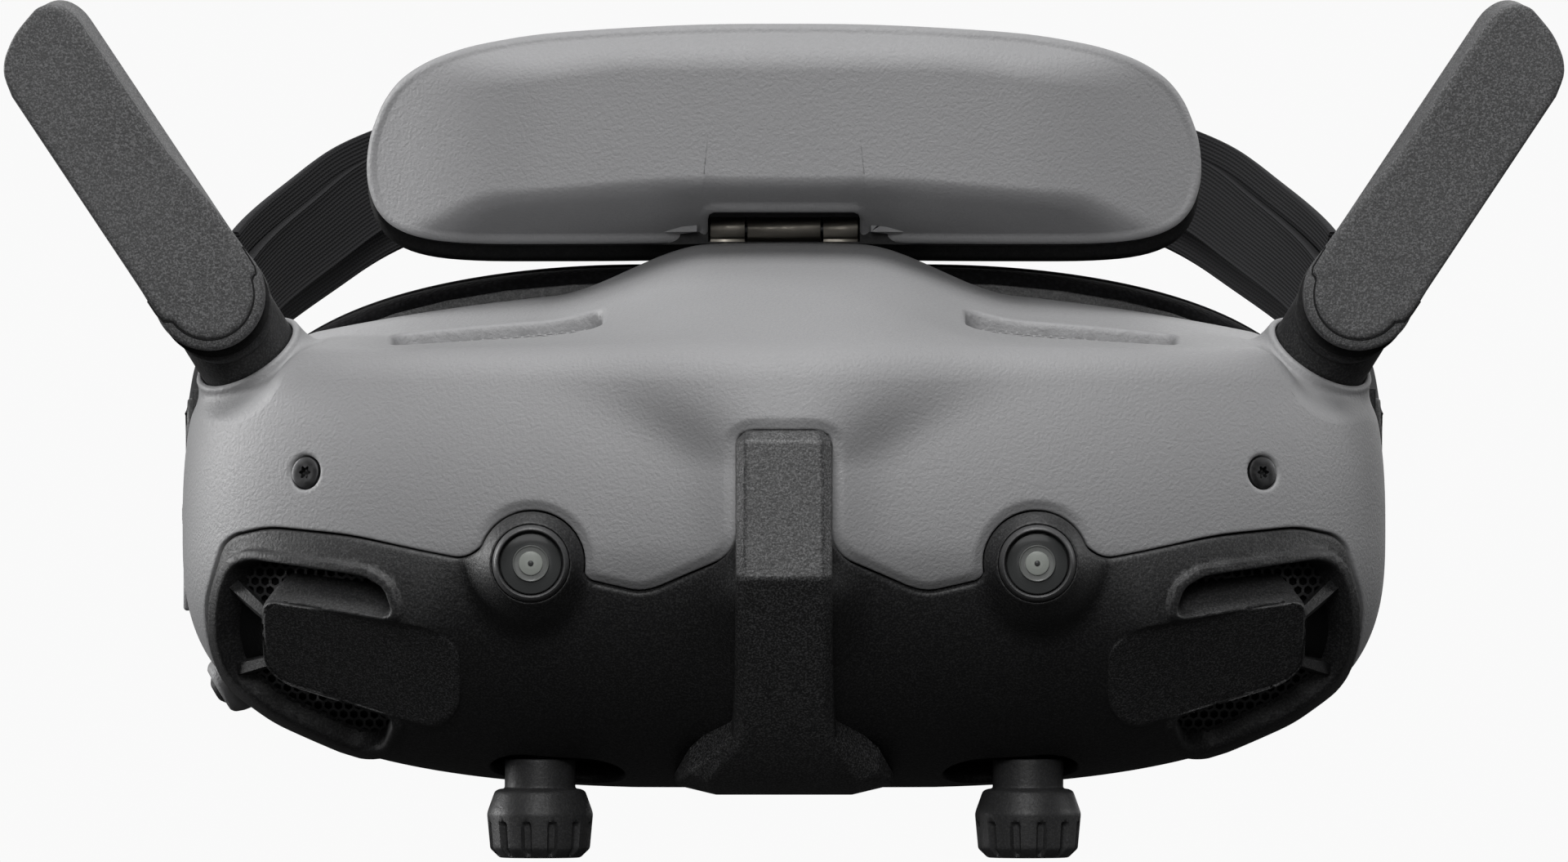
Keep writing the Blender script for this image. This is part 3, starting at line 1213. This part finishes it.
def knobs():
    """Focus knobs: a stem, a shoulder and a barrel with slots pressed into it."""
    low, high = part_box("focus_knob_left")
    end, radius = low.z, (high.x - low.x) / 2
    top = end + 0.0098
    profile = softened([
        (0, high.z), (0.0019, high.z), (0.0019, high.z - 0.0062), (0.0050, high.z - 0.0062), (0.0050, top),
        (0.0058, top - 0.0001), (0.0064, top - 0.0004), (radius - 0.0002, top - 0.0029),
        (radius, top - 0.0036), (radius - 0.00045, end + 0.0013), (radius - 0.0018, end), (0, end),
    ], 0.0003)
    slots, slot_depth, segments, row_height = 12, 0.0008, 288, 0.00035
    rows = []
    for (r0, z0), (r1, z1) in zip(profile, profile[1:]):
        steps = max(1, int(abs(z1 - z0) / row_height))
        rows += [(r0 + (r1 - r0) * i / steps, z0 + (z1 - z0) * i / steps) for i in range(steps)]
    rows.append(profile[-1])
    for side, name in SIDES:
        rings = []
        for r, z in rows:
            ring = []
            for k in range(segments):
                t = 2 * math.pi * k / segments
                away = abs((t / (2 * math.pi) * slots) % 1 - 0.5) * 2 * math.pi * radius / slots
                high_end = max(0.0, z - (top - 0.0052)) + max(0.0, (end + 0.0010) - z)
                gap = math.hypot(away, high_end * 1.2)
                press = slot_depth * (1 - float(smooth(0.00045, 0.0008, gap))) if r > radius - 0.0015 else 0.0
                size = max(r - press, POINT_RADIUS)
                ring.append((side * KNOB_X + size * math.cos(t), KNOB_Y + size * math.sin(t), z))
            rings.append(ring)
        piece(f"focus_knob_body_{name}", *loft(rings), KNOB_BLACK, f"knob_{name}", [f"focus_knob_{name}"], 50)


def slot_covers():
    """Dust covers that ride with each eyepiece and close its knob's slot from inside."""
    heights = np.linspace(-0.0330, -0.010, 240)
    for side, name in SIDES:
        lines = []
        for x in np.linspace(KNOB_X - 0.0125, KNOB_X + 0.0125, 15):
            depths = front_y(np.full_like(heights, x), heights)
            line = []
            for y in np.linspace(-0.0315, -0.0125, 14):
                z = float(heights[np.argmin(np.abs(depths - y))]) if y < depths[0] else heights[0]
                line.append((side * x, y, z + 0.0031))
            lines.append(line)
        made = sheet(lines, (0, 0, SHEET))
        piece(f"slot_cover_{name}", *made, DEEP_BLACK, f"eyepiece_{name}", sharp=40)


def rear_gasket():
    """The black gasket between the front shells and the rear housing."""
    heights = np.concatenate((np.linspace(-0.0331, -0.0300, 12), np.linspace(-0.0290, 0.0180, 24)))
    left = [(-float(half_width(z)), float(z)) for z in heights]
    line = left[::-1] + [(-x, z) for x, z in left]
    rings = []
    for x, z in line:
        inward = Vector((-x / 0.085, -z / 0.033 - 0.1)).normalized()
        a = Vector((x, z)) + inward * 0.0014
        b = Vector((x, z)) + inward * 0.0052
        rings.append([(a.x, -0.0036, a.y), (b.x, -0.0036, b.y), (b.x, -0.0012, b.y), (a.x, -0.0012, a.y)])
    piece("rear_gasket", *loft(rings), DEEP_BLACK, "root", sharp=40)


def small_controls():
    """The menu stick with its collar, and the ribbed cover on the same side."""
    profile = softened([(0, -0.0012), (0.0012, -0.0012), (0.0022, -0.0005), (0.0024, 0.0004),
                        (0.0019, 0.0013), (0.0016, 0.0034), (0, 0.0034)], 0.0004, 5)
    piece("menu_stick_cap", *turned(profile, STICK_SPOT, STICK_AXIS, 48), COVER_BLACK, "menu_stick_body",
          ["menu_stick"], 40)
    profile = softened([(0.0027, 0.0032), (0.0027, -0.0001), (0.0031, -0.0006), (0.0038, -0.0001),
                        (0.0043, 0.0012), (0.0046, 0.0032)], 0.0004, 4)
    ring, faces = turned(profile, STICK_SPOT, STICK_AXIS, 64)
    piece("menu_stick_collar", ring, faces[:-2], SHELL_GREY, "root", sharp=50)
    low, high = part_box("side_port_cover")
    plate = rounded([(low.y, low.z), (high.y, low.z), (high.y, high.z), (low.y, high.z)], 0.0008)
    x = -BODY_HALF_WIDTH - 0.00012
    rings = [[(x + d, y, z) for y, z in offset(plate, -inset)]
             for inset, d in ((0.0012, 0.0), (0.0003, 0.0), (0.0, 0.0003), (0.0, 0.0012), (0.0012, 0.0012))]
    piece("side_port_plate", *loft(rings), SHELL_GREY, "root", ["side_port_cover"], 40)
    slots = []
    for i in range(5):
        y = low.y + 0.0016 + 0.0010 * i
        slot = rounded([(y - 0.0002, low.z + 0.0008), (y + 0.0002, low.z + 0.0008),
                        (y + 0.0002, high.z - 0.0008), (y - 0.0002, high.z - 0.0008)], 0.0001)
        slots.append(loft([[(x + d, a, b) for a, b in slot] for d in (-0.00006, 0.0006)]))
    piece("side_port_slits", *joined(*slots), DEEP_BLACK, "root", sharp=40)


# ---------------------------------------------------------------- forehead pad

PAD_OUTLINE = [  # left half of the pad's rim, from the bottom centre round to the top centre
    (0.0, 0.0424), (-0.0180, 0.0421), (-0.0330, 0.0420), (-0.0440, 0.0421), (-0.0508, 0.0428),
    (-0.0552, 0.0444), (-0.0578, 0.0470), (-0.0591, 0.0505), (-0.0594, 0.0540), (-0.0590, 0.0578),
    (-0.0581, 0.0608), (-0.0567, 0.0640), (-0.0544, 0.0670), (-0.0510, 0.0694), (-0.0470, 0.0711),
    (-0.0423, 0.0724), (-0.0340, 0.0738), (-0.0220, 0.0747), (-0.0110, 0.0752), (0.0, 0.0753),
]
PAD_TOP, PAD_HEIGHT = 0.0753, 0.0333
NOTCH_HALF_WIDTH, NOTCH_TOP = 0.0108, 0.0486  # the opening for the hinge


def whole(half, per=4):
    """Both halves of a left-half outline as a smooth closed curve."""
    ring = list(half) + [(-x, z) for x, z in reversed(half[1:-1])]
    made, size = [], len(ring)
    for i in range(size):
        near = [Vector(ring[(i + k) % size]) for k in (-1, 0, 1, 2)]
        made += [tuple(between(*near, k / per)) for k in range(per)]
    return np.array(made)


def pad_reach(x, z):
    """How far the pad stands forward of its rim: a face, a top, sides and an underside."""
    x = np.abs(x)
    full = 0.0188 - 0.0030 * (x / 0.0594) ** 2.2
    face_top = 0.0706 - 0.0024 * smooth(0.020, 0.045, x)
    face_low = 0.0522 - 0.0018 * smooth(0.012, 0.040, x) - 0.0035 * smooth(0.040, 0.053, x)
    top = full - np.maximum(z - face_top, -0.01) * 1.0
    sides = 0.0188 - (x - 0.0405) * 0.66
    under = full - (face_low - z) * 1.95
    hollow = smooth(0.0185, 0.0130, x)
    under = under - 0.0022 * hollow * smooth(0.0530, 0.0495, z)
    made = soft_min(full, top, 0.0022)
    made = soft_min(made, under, 0.0030)
    return np.maximum(soft_min(made, sides, 0.0060), 0.0026)


def forehead_shell():
    """The pad's light shell: side wall, sloped facets with soft creases and a broad face."""
    rim, back = whole(PAD_OUTLINE, 5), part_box("forehead_shell")[1].y
    rim[:, 1] += 0.0021 * (1 - (rim[:, 1] - 0.042) / PAD_HEIGHT)
    rim = rim[(np.abs(rim[:, 0]) > 0.0140) | (rim[:, 1] > 0.06)]
    notch = [(-x, NOTCH_TOP) for x in (0.0020, 0.0050, 0.0080, 0.0100)] + [(-0.0106, 0.0483)]
    notch += [(-NOTCH_HALF_WIDTH, z) for z in (0.0478, 0.0468, 0.0443)]
    other = [(-x, z) for x, z in reversed(notch)]
    rim = np.array([(0.0, NOTCH_TOP)] + notch + [tuple(p) for p in rim] + other)
    middle = np.stack((rim[:, 0] * (1 - 0.2 * smooth(0.0115, 0.030, np.abs(rim[:, 0]))),
                       0.0600 + (rim[:, 1] - 0.0600) * 0.06), -1)
    edge = 0.0013

    def ring_at(inset, y):
        return [(x, y, z) for x, z in offset(rim, -inset)]

    inner = offset(rim, -edge)
    lip = back - pad_reach(inner[:, 0], inner[:, 1])
    rings = [ring_at(0.0030, back - 0.006), ring_at(0.0016, back - 0.006), ring_at(0.0016, back),
             ring_at(0.0004, back), ring_at(0.0, back - 0.0004)]
    for t in np.linspace(0.1, 1.0, 8):
        rings.append([(x, back - 0.0004 + (y + edge - back + 0.0004) * t, z) for (x, z), y in zip(rim, lip)])
    for i in range(1, 7):
        turn = math.pi / 2 * i / 6
        outline = offset(rim, -edge * (1 - math.cos(turn)))
        rings.append([(x, y + edge * (1 - math.sin(turn)), z) for (x, z), y in zip(outline, lip)])
    for t in np.linspace(0.0, 1.0, 56)[1:]:
        outline = inner + (middle - inner) * t
        y = back - pad_reach(outline[:, 0], outline[:, 1])
        rings.append([(x, d, z) for (x, z), d in zip(outline, y)])
    points, faces = loft(rings, cap=False)
    count, top = len(rim), len(rim) // 2
    base = len(points) - count
    faces = list(faces)
    for start, end in ((0, top), (top, count)):
        for k in range((end - start) // 2):
            near, far = start + k, end - k
            quad = (base + near, base + near + 1, base + far - 1, base + far % count)
            faces.append(tuple(dict.fromkeys(quad)))
    piece("forehead_pad_shell", points, faces, SHELL_GREY, "forehead", ["forehead_shell"], 60)


def apply_modifiers(obj):
    """Gives the object the mesh that its modifiers make."""
    bpy.context.view_layer.update()
    graph = bpy.context.evaluated_depsgraph_get()
    mesh = bpy.data.meshes.new_from_object(obj.evaluated_get(graph))
    obj.modifiers.clear()
    obj.data = mesh


def subtract(obj, points, faces):
    """Cuts a closed shape out of obj."""
    mesh = mesh_of("cutter", points, faces)
    shape = bmesh.new()
    shape.from_mesh(mesh)
    bmesh.ops.recalc_face_normals(shape, faces=shape.faces)
    shape.to_mesh(mesh)
    shape.free()
    cutter = linked("cutter", mesh)
    modifier = obj.modifiers.new("cut", "BOOLEAN")
    modifier.operation = "DIFFERENCE"
    modifier.solver = "EXACT"
    modifier.object = cutter
    apply_modifiers(obj)
    bpy.data.objects.remove(cutter, do_unlink=True)


def forehead_frame():
    """The dark rim between shell and cushion."""
    low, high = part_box("forehead_rim")
    rings = []
    for inset, share in ((0.0034, -0.9), (0.0022, -0.9), (0.0022, 0.0), (0.0009, 0.0), (0.0003, 0.08),
                         (0.0, 0.2), (0.0, 0.5), (0.0004, 0.75), (0.0012, 0.92), (0.0022, 1.0),
                         (0.0034, 1.1), (0.006, 1.15)):
        y = low.y + (high.y - low.y) * share
        outline = offset(whole(PAD_OUTLINE), -inset)
        rings.append([(x, y, z - 0.0003 * (PAD_TOP - z) / PAD_HEIGHT) for x, z in outline])
    obj = piece("forehead_pad_rim", *loft(rings), DEEP_BLACK, "forehead", ["forehead_rim"], 40)
    joint = JOINTS["forehead_tilt"]["pos_m"]
    half, radius = NOTCH_HALF_WIDTH, 0.0026
    gap = [(0, -half), (radius, -half), (radius, half), (0, half)]
    subtract(obj, *turned(gap, joint, (1, 0, 0), 40))
    obj.data.set_sharp_from_angle(angle=math.radians(40))


def forehead_cushion():
    """The brow cushion: a swollen fabric cover with a piped edge."""
    low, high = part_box("forehead_foam")
    rings = []
    for inset, share in ((0.006, -0.22), (0.0036, -0.22), (0.0026, 0.06), (0.0022, 0.4), (0.0030, 0.68),
                         (0.0052, 0.86), (0.0086, 0.96), (0.0120, 1.0)):
        ring = []
        for x, z in offset(whole(PAD_OUTLINE, 3), -inset):
            y = low.y + (high.y - low.y - 0.003) * share
            ring.append((x, y - 0.004 * (x / 0.058) ** 2 * max(share, 0.0) + 0.0015, z))
        rings.append(ring)
    obj = piece("forehead_cushion", *loft(rings), FOAM_BLACK, "forehead", ["forehead_foam"])
    obj.parent = None
    puff(obj, 0.004, 4.0, 0.0025)
    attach(obj, "forehead")
    for polygon in obj.data.polygons:
        polygon.use_smooth = True
    seam_ring = offset(whole(PAD_OUTLINE, 3), -0.0036)
    mid = low.y + (high.y - low.y) * 0.66
    tube("forehead_piping", [(x, mid - 0.003 * (x / 0.058) ** 2, z) for x, z in seam_ring], 0.0005,
         FOAM_BLACK, "forehead")


def puff(obj, voxel, pressure, cap):
    """Swells a soft piece by cloth simulation, no point moving further than cap."""
    remesh = obj.modifiers.new("even", "REMESH")
    remesh.mode = "VOXEL"
    remesh.voxel_size = voxel
    apply_modifiers(obj)
    rest = [v.co.copy() for v in obj.data.vertices]
    cloth = obj.modifiers.new("swell", "CLOTH")
    cloth.settings.use_pressure = True
    cloth.settings.uniform_pressure_force = pressure
    cloth.settings.effector_weights.gravity = 0.0
    scene = bpy.context.scene
    for step in range(1, 21):
        scene.frame_set(step)
    apply_modifiers(obj)
    for vertex, start in zip(obj.data.vertices, rest):
        moved = vertex.co - start
        if moved.length > cap:
            vertex.co = start + moved.normalized() * cap
    scene.frame_set(1)
    obj.modifiers.new("fine", "SUBSURF").levels = 1
    apply_modifiers(obj)


def tube(name, path, radius, finish, body, closed=True):
    """A round cord along a path of points."""
    curve = bpy.data.curves.new(name, "CURVE")
    curve.dimensions = "3D"
    curve.bevel_depth = radius
    curve.bevel_resolution = 3
    line = curve.splines.new("POLY")
    line.points.add(len(path) - 1)
    for point, spot in zip(line.points, path):
        point.co = (*spot, 1.0)
    line.use_cyclic_u = closed
    obj = linked(name, curve)
    bpy.context.view_layer.update()
    mesh = bpy.data.meshes.new_from_object(obj.evaluated_get(bpy.context.evaluated_depsgraph_get()))
    bpy.data.objects.remove(obj, do_unlink=True)
    settle(linked(name, mesh), finish, body, sharp=60)


# ---------------------------------------------------------------- face seal


def face_curve(t):
    """The seal's outer outline; t runs 0 to 1 once round, from the nose leftwards."""
    turn = 2 * math.pi * t
    s, c = math.sin(turn), math.cos(turn)
    x = -0.0800 * math.copysign(abs(s) ** 0.72, s)
    if c > 0:
        return x, 0.003 - 0.0300 * abs(c) ** 0.72 + 0.0165 * math.exp(-((x / 0.0145) ** 2))
    return x, 0.003 + 0.0385 * abs(c) ** 0.62 - 0.001 * math.exp(-((x / 0.02) ** 2))


def face_seal():
    """The soft seal round the eyes: a rounded band, a stitched seam and a welt at its foot."""
    count = 240
    spots = np.array([face_curve((i + 0.5) / count) for i in range(count)])
    inner = offset(spots, -0.001) - spots
    inward = inner / np.linalg.norm(inner, axis=1)[:, None]
    if (inward * spots).sum() > 0:
        inward = -inward
    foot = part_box("face_foam")[0].y
    wall = 0.012
    profile = [(0.0018, 0.0), (0.0008, 0.0006), (0.0002, 0.0025), (0.0, 0.25), (0.0002, 0.7), (0.0010, 0.86),
               (0.0030, 0.965), (0.0060, 1.0), (0.0090, 0.985), (0.0115, 0.93), (wall + 0.0012, 0.84),
               (wall - 0.001, 0.55), (wall - 0.004, 0.2), (wall - 0.0058, 0.0)]
    rings = []
    stitches = []
    for i, (x, z) in enumerate(spots):
        reach = 0.0150 + 0.0190 * (abs(x) / 0.080) ** 2 + 0.004 * float(smooth(0.0, 0.02, -z))
        ring = []
        for k, (inset, share) in enumerate(profile):
            y = foot + (share if 0 < k < 3 else reach * share)
            p = np.array((x, z)) + inward[i] * inset
            ring.append((p[0], y, p[1]))
        rings.append(ring)
        p = np.array((x, z)) + inward[i] * 0.00005
        stitches.append((p[0], foot + reach * 0.74, p[1]))
    piece("face_seal", *loft(rings, closed=True), FOAM_BLACK, "root", ["face_foam"])
    tube("face_seal_piping", stitches, 0.00055, FOAM_BLACK, "root")


# ---------------------------------------------------------------- headband

STRAP_PATH = [  # left strap's centre line, from the side lug to the battery
    (-0.0847, 0.0050, 0.0150), (-0.0846, 0.0200, 0.0166), (-0.0842, 0.0450, 0.0222),
    (-0.0822, 0.0750, 0.0302), (-0.0766, 0.1020, 0.0394), (-0.0680, 0.1260, 0.0473),
    (-0.0606, 0.1400, 0.0529), (-0.0500, 0.1505, 0.0575), (-0.0430, 0.1535, 0.0592),
]
STRAP_WIDTH, WEBBING_WIDTH, STRAP_THICKNESS = 0.018, 0.0105, 0.0016


def strap_frame(at):
    """Centre, width direction and face normal at a place along the strap."""
    path = [Vector(p) for p in STRAP_PATH]
    k = min(int(at), len(path) - 2)
    t = at - k
    before, after = path[max(0, k - 1)], path[min(len(path) - 1, k + 2)]
    a, b = path[k], path[k + 1]
    spot = between(before, a, b, after, t)
    along = (b - before) / 2 * (1 - t) + (after - a) / 2 * t
    normal = Vector((along.y, -along.x, 0.0)).normalized() * -1
    normal.z = -0.42 * float(smooth(2.0, 7.0, at))
    across = along.cross(normal).normalized()
    return spot, across, across.cross(along).normalized()


def ribbon(name, first, last, inward, width, side, replaces):
    """A flat strap with rounded, slightly thicker selvedges and its own weave coordinates."""
    half, thick = width / 2, STRAP_THICKNESS / 2
    section = [(-1.0, 0.0), (-0.985, 0.75), (-0.95, 1.0), (-0.90, 0.88), (-0.45, 0.82), (0.0, 0.82),
               (0.45, 0.82), (0.90, 0.88), (0.95, 1.0), (0.985, 0.75), (1.0, 0.0)]
    section += [(a, -b) for a, b in reversed(section[1:-1])]
    count = 120
    rings, weave, run, last_spot = [], [], 0.0, None
    for i in range(count + 1):
        spot, across, normal = strap_frame(first + (last - first) * i / count)
        spot = spot + normal * inward
        run += (spot - last_spot).length if last_spot else 0.0
        last_spot = spot
        ring = []
        for a, b in section:
            ring.append(on_side(side, spot + across * half * a + normal * thick * b))
            weave.append((run, half * a, 0.0))
        rings.append(ring)
    mesh = mesh_of(name, *loft(rings))
    layer = mesh.attributes.new("weave", "FLOAT_VECTOR", "POINT")
    layer.data.foreach_set("vector", np.array(weave, np.float32).ravel())
    settle(linked(name, mesh), WEBBING, "headband", replaces, 50)


def headband():
    """Each side's narrow webbing, the wide elastic inside it and the stitches that join them."""
    gap = STRAP_THICKNESS + 0.0003
    for side, name in SIDES:
        ribbon(f"strap_webbing_{name}", 0.0, 7.9, 0.0, WEBBING_WIDTH, side, [f"strap_web_{name}"])
        ribbon(f"strap_elastic_{name}", 3.9, 7.5, gap, STRAP_WIDTH, side, [f"strap_band_{name}"])
        for at in (3.96, 4.02):
            stitch_row(f"stitches_{name}_{round(at * 100)}", at, gap + STRAP_THICKNESS * 0.42, side)


def strap_clips():
    """The round-nosed plates that the straps are sewn to, with a rivet on their stud."""
    pivot = Vector(JOINTS["headband_swing"]["pos_m"])
    for side, name in SIDES:
        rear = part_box(f"strap_clip_{name}")[1].y
        shape = [(rear, pivot.z - 0.0058), (rear, pivot.z + 0.0046)]
        shape += arc((pivot.y, pivot.z), 0.0052, 90, 270, 21)
        face = side * 0.0851
        steps = [(0.0010, 0.0), (0.0003, 0.0), (0.0, 0.0003), (0.0, 0.0014), (0.0010, 0.0014)]
        plate = loft([[(face - side * d, y, z) for y, z in offset(shape, -inset)] for inset, d in steps])
        stud = turned(softened([(0, -0.0002), (0.0018, -0.0002), (0.0024, 0.0001), (0.0026, 0.0005),
                                (0.0020, 0.0012), (0.0020, 0.0046), (0, 0.0046)], 0.0002),
                      (face, pivot.y, pivot.z), (-side, 0, 0), 48)
        piece(f"strap_lug_{name}", *joined(plate, stud), COVER_BLACK, "headband",
              [f"strap_clip_{name}"], 35)


def stitch_row(name, at, inward, side):
    """A row of thread stitches across the strap."""
    spot, across, normal = strap_frame(at)
    parts = []
    count = 13
    for i in range(count):
        middle = spot + normal * inward + across * (i / (count - 1) - 0.5) * (STRAP_WIDTH - 0.0024)
        ends = [middle - across * 0.00045, middle, middle + across * 0.00045]
        rings = []
        for end, lift, radius in zip(ends, (-0.0002, 0.0001, -0.0002), (0.00012, 0.0002, 0.00012)):
            ring = []
            for k in range(6):
                t = math.pi / 3 * k
                p = end + normal * (lift + radius * math.cos(t)) + across.cross(normal) * radius * math.sin(t)
                ring.append(on_side(side, p))
            rings.append(ring)
        parts.append(loft(rings))
    piece(name, *joined(*parts), WEBBING_EDGE, "headband")


# ---------------------------------------------------------------- CAD pieces kept, with softened edges


def refine(node_name, finish, body, edge):
    """A CAD node's own shape with merged faces and rounded edges."""
    sharp = 30
    obj = linked(f"{node_name}_body", frame["nodes"][node_name].data.copy())
    shape = bmesh.new()
    shape.from_mesh(obj.data)
    bmesh.ops.remove_doubles(shape, verts=shape.verts, dist=2e-6)
    bmesh.ops.dissolve_limit(shape, angle_limit=math.radians(1.5), verts=shape.verts, edges=shape.edges)
    shape.to_mesh(obj.data)
    shape.free()
    for name in [a.name for a in obj.data.attributes if a.name == "custom_normal"]:
        obj.data.attributes.remove(obj.data.attributes[name])
    round_edges(obj, edge, 3, sharp)
    apply_modifiers(obj)
    settle(obj, finish, body, [node_name], sharp)


def kept_pieces():
    """The pieces whose CAD shape is right, with finer edges and their own finish."""
    owners = {n: body for body, names in frame["record"]["behaviour"]["bodies"].items() for n in names}
    finishes = {
        "rear_housing": COVER_BLACK, "face_carrier": COVER_BLACK, "mainboard": BOARD_GREEN,
        "heat_sink": ALUMINIUM, "fan_frame": COVER_BLACK, "fan_rotor": COVER_BLACK,
        "hinge_bracket": HINGE_METAL, "hinge_leaf": HINGE_METAL, "hinge_pin": STEEL,
        "ipd_rod_front": STEEL, "ipd_rod_rear": STEEL,
        "back_button": SHELL_GREY, "battery_case": COVER_BLACK,
        "battery_cover": COVER_BLACK, "battery_cell_lower": CELL_WRAP, "battery_cell_upper": CELL_WRAP,
        "power_button": BEZEL_GREY,
    }
    pairs = {"eyepiece_carriage": COVER_BLACK, "display_panel": DISPLAY,
             "eyepiece_barrel": COVER_BLACK, "eyepiece_lens": EYE_GLASS}
    for _, name in SIDES:
        finishes.update({f"{node}_{name}": finish for node, finish in pairs.items()})
    soft_edges = {"battery_case": 0.0005, "battery_cover": 0.0005, "rear_housing": 0.0003}
    for name, finish in finishes.items():
        refine(name, finish, owners[name], soft_edges.get(name, 0.0002))


# ---------------------------------------------------------------- stage

BACKGROUND = (0.95, 0.95, 0.95, 1.0)
FLOOR_Z = -0.30


def area_light(name, spot, target, size, power, tall=None):
    light = bpy.data.lights.new(name, "AREA")
    light.shape = "RECTANGLE"
    light.size = size
    light.size_y = tall or size
    light.energy = power
    obj = linked(name, light)
    way = Vector(target) - Vector(spot)
    obj.location = spot
    obj.rotation_euler = way.to_track_quat("-Z", "Y").to_euler()


def seen_and_lit(tree, seen, lit, output):
    """Shows one shader to the camera, while the other one lights the object."""
    mix = add_node(tree, "MixShader")
    seen_directly = add_node(tree, "LightPath").outputs["Is Camera Ray"]
    for target, source in zip(mix.inputs, (seen_directly, lit.outputs[0], seen.outputs[0])):
        feed(tree, target, source)
    feed(tree, tree.nodes[output].inputs["Surface"], mix.outputs[0])


def stage():
    """A pale floor well below, a white surround, and soft light, most of it from above."""
    corners = [(x, y, FLOOR_Z) for x, y in ((-6, -6), (6, -6), (6, 6), (-6, 6))]
    floor = linked("floor", mesh_of("floor", corners, [(0, 1, 2, 3)]))
    paint = Finish("floor_paint", "floor", (0.8, 0.8, 0.8), 0.9)
    glow = add_node(paint.tree, "Emission", Strength=1.0, Color=BACKGROUND)
    dull = add_node(paint.tree, "BsdfDiffuse", Color=(0.03, 0.03, 0.03, 1.0))
    seen_and_lit(paint.tree, glow, dull, "Material Output")
    floor.data.materials.append(paint.material)

    world = bpy.data.worlds.new("studio")
    bpy.context.scene.world = world
    world.use_nodes = True
    soft = world.node_tree.nodes["Background"]
    soft.inputs["Color"].default_value = (1, 1, 1, 1)
    soft.inputs["Strength"].default_value = 0.04
    white = add_node(world.node_tree, "Background", Color=BACKGROUND, Strength=1.0)
    seen_and_lit(world.node_tree, white, soft, "World Output")

    aim = (0, -0.02, 0.02)
    area_light("key", (-0.12, -0.60, 1.10), aim, 0.45, 7.2)
    area_light("top", (0.0, -0.22, 1.2), aim, 0.7, 6.0, 0.5)
    area_light("left_strip", (-0.95, 0.25, 0.25), aim, 0.25, 9.0, 0.5)
    area_light("right_fill", (0.95, 0.15, 0.35), aim, 0.4, 2.8)
    area_light("front_fill", (-0.1, -1.3, 0.65), aim, 0.7, 9.0)
    area_light("hinge_fill", (0.0, -1.2, 0.06), aim, 0.15, 0.25)
    area_light("back_fill", (0.3, 0.95, 0.55), aim, 1.2, 5.5)
    bpy.context.scene.view_settings.view_transform = "Standard"


def camera():
    """Level with the middle of the object, straight at its front."""
    lens = bpy.data.cameras.new("camera")
    distance, plane_y, frame_width = 3.0, -0.035, 0.2208
    lens.sensor_width = 36.0
    lens.lens = 36.0 * distance / frame_width
    obj = linked("camera", lens)
    obj.location = (0.0, plane_y - distance, 0.0175)
    obj.rotation_euler = (math.pi / 2, 0.0, 0.0)
    bpy.context.scene.camera = obj


# ---------------------------------------------------------------- build

seam = seam_outline()
boss_edge = light_shell(seam)
dark_cover(seam)
spine()
vent_meshes()
vent_ribs()
trumpets(*boss_edge)
antennas()
cameras()
front_screws()
knobs()
slot_covers()
small_controls()
forehead_shell()
forehead_frame()
forehead_cushion()
face_seal()
headband()
strap_clips()
rear_gasket()
kept_pieces()
stage()
camera()

bpy.context.view_layer.update()
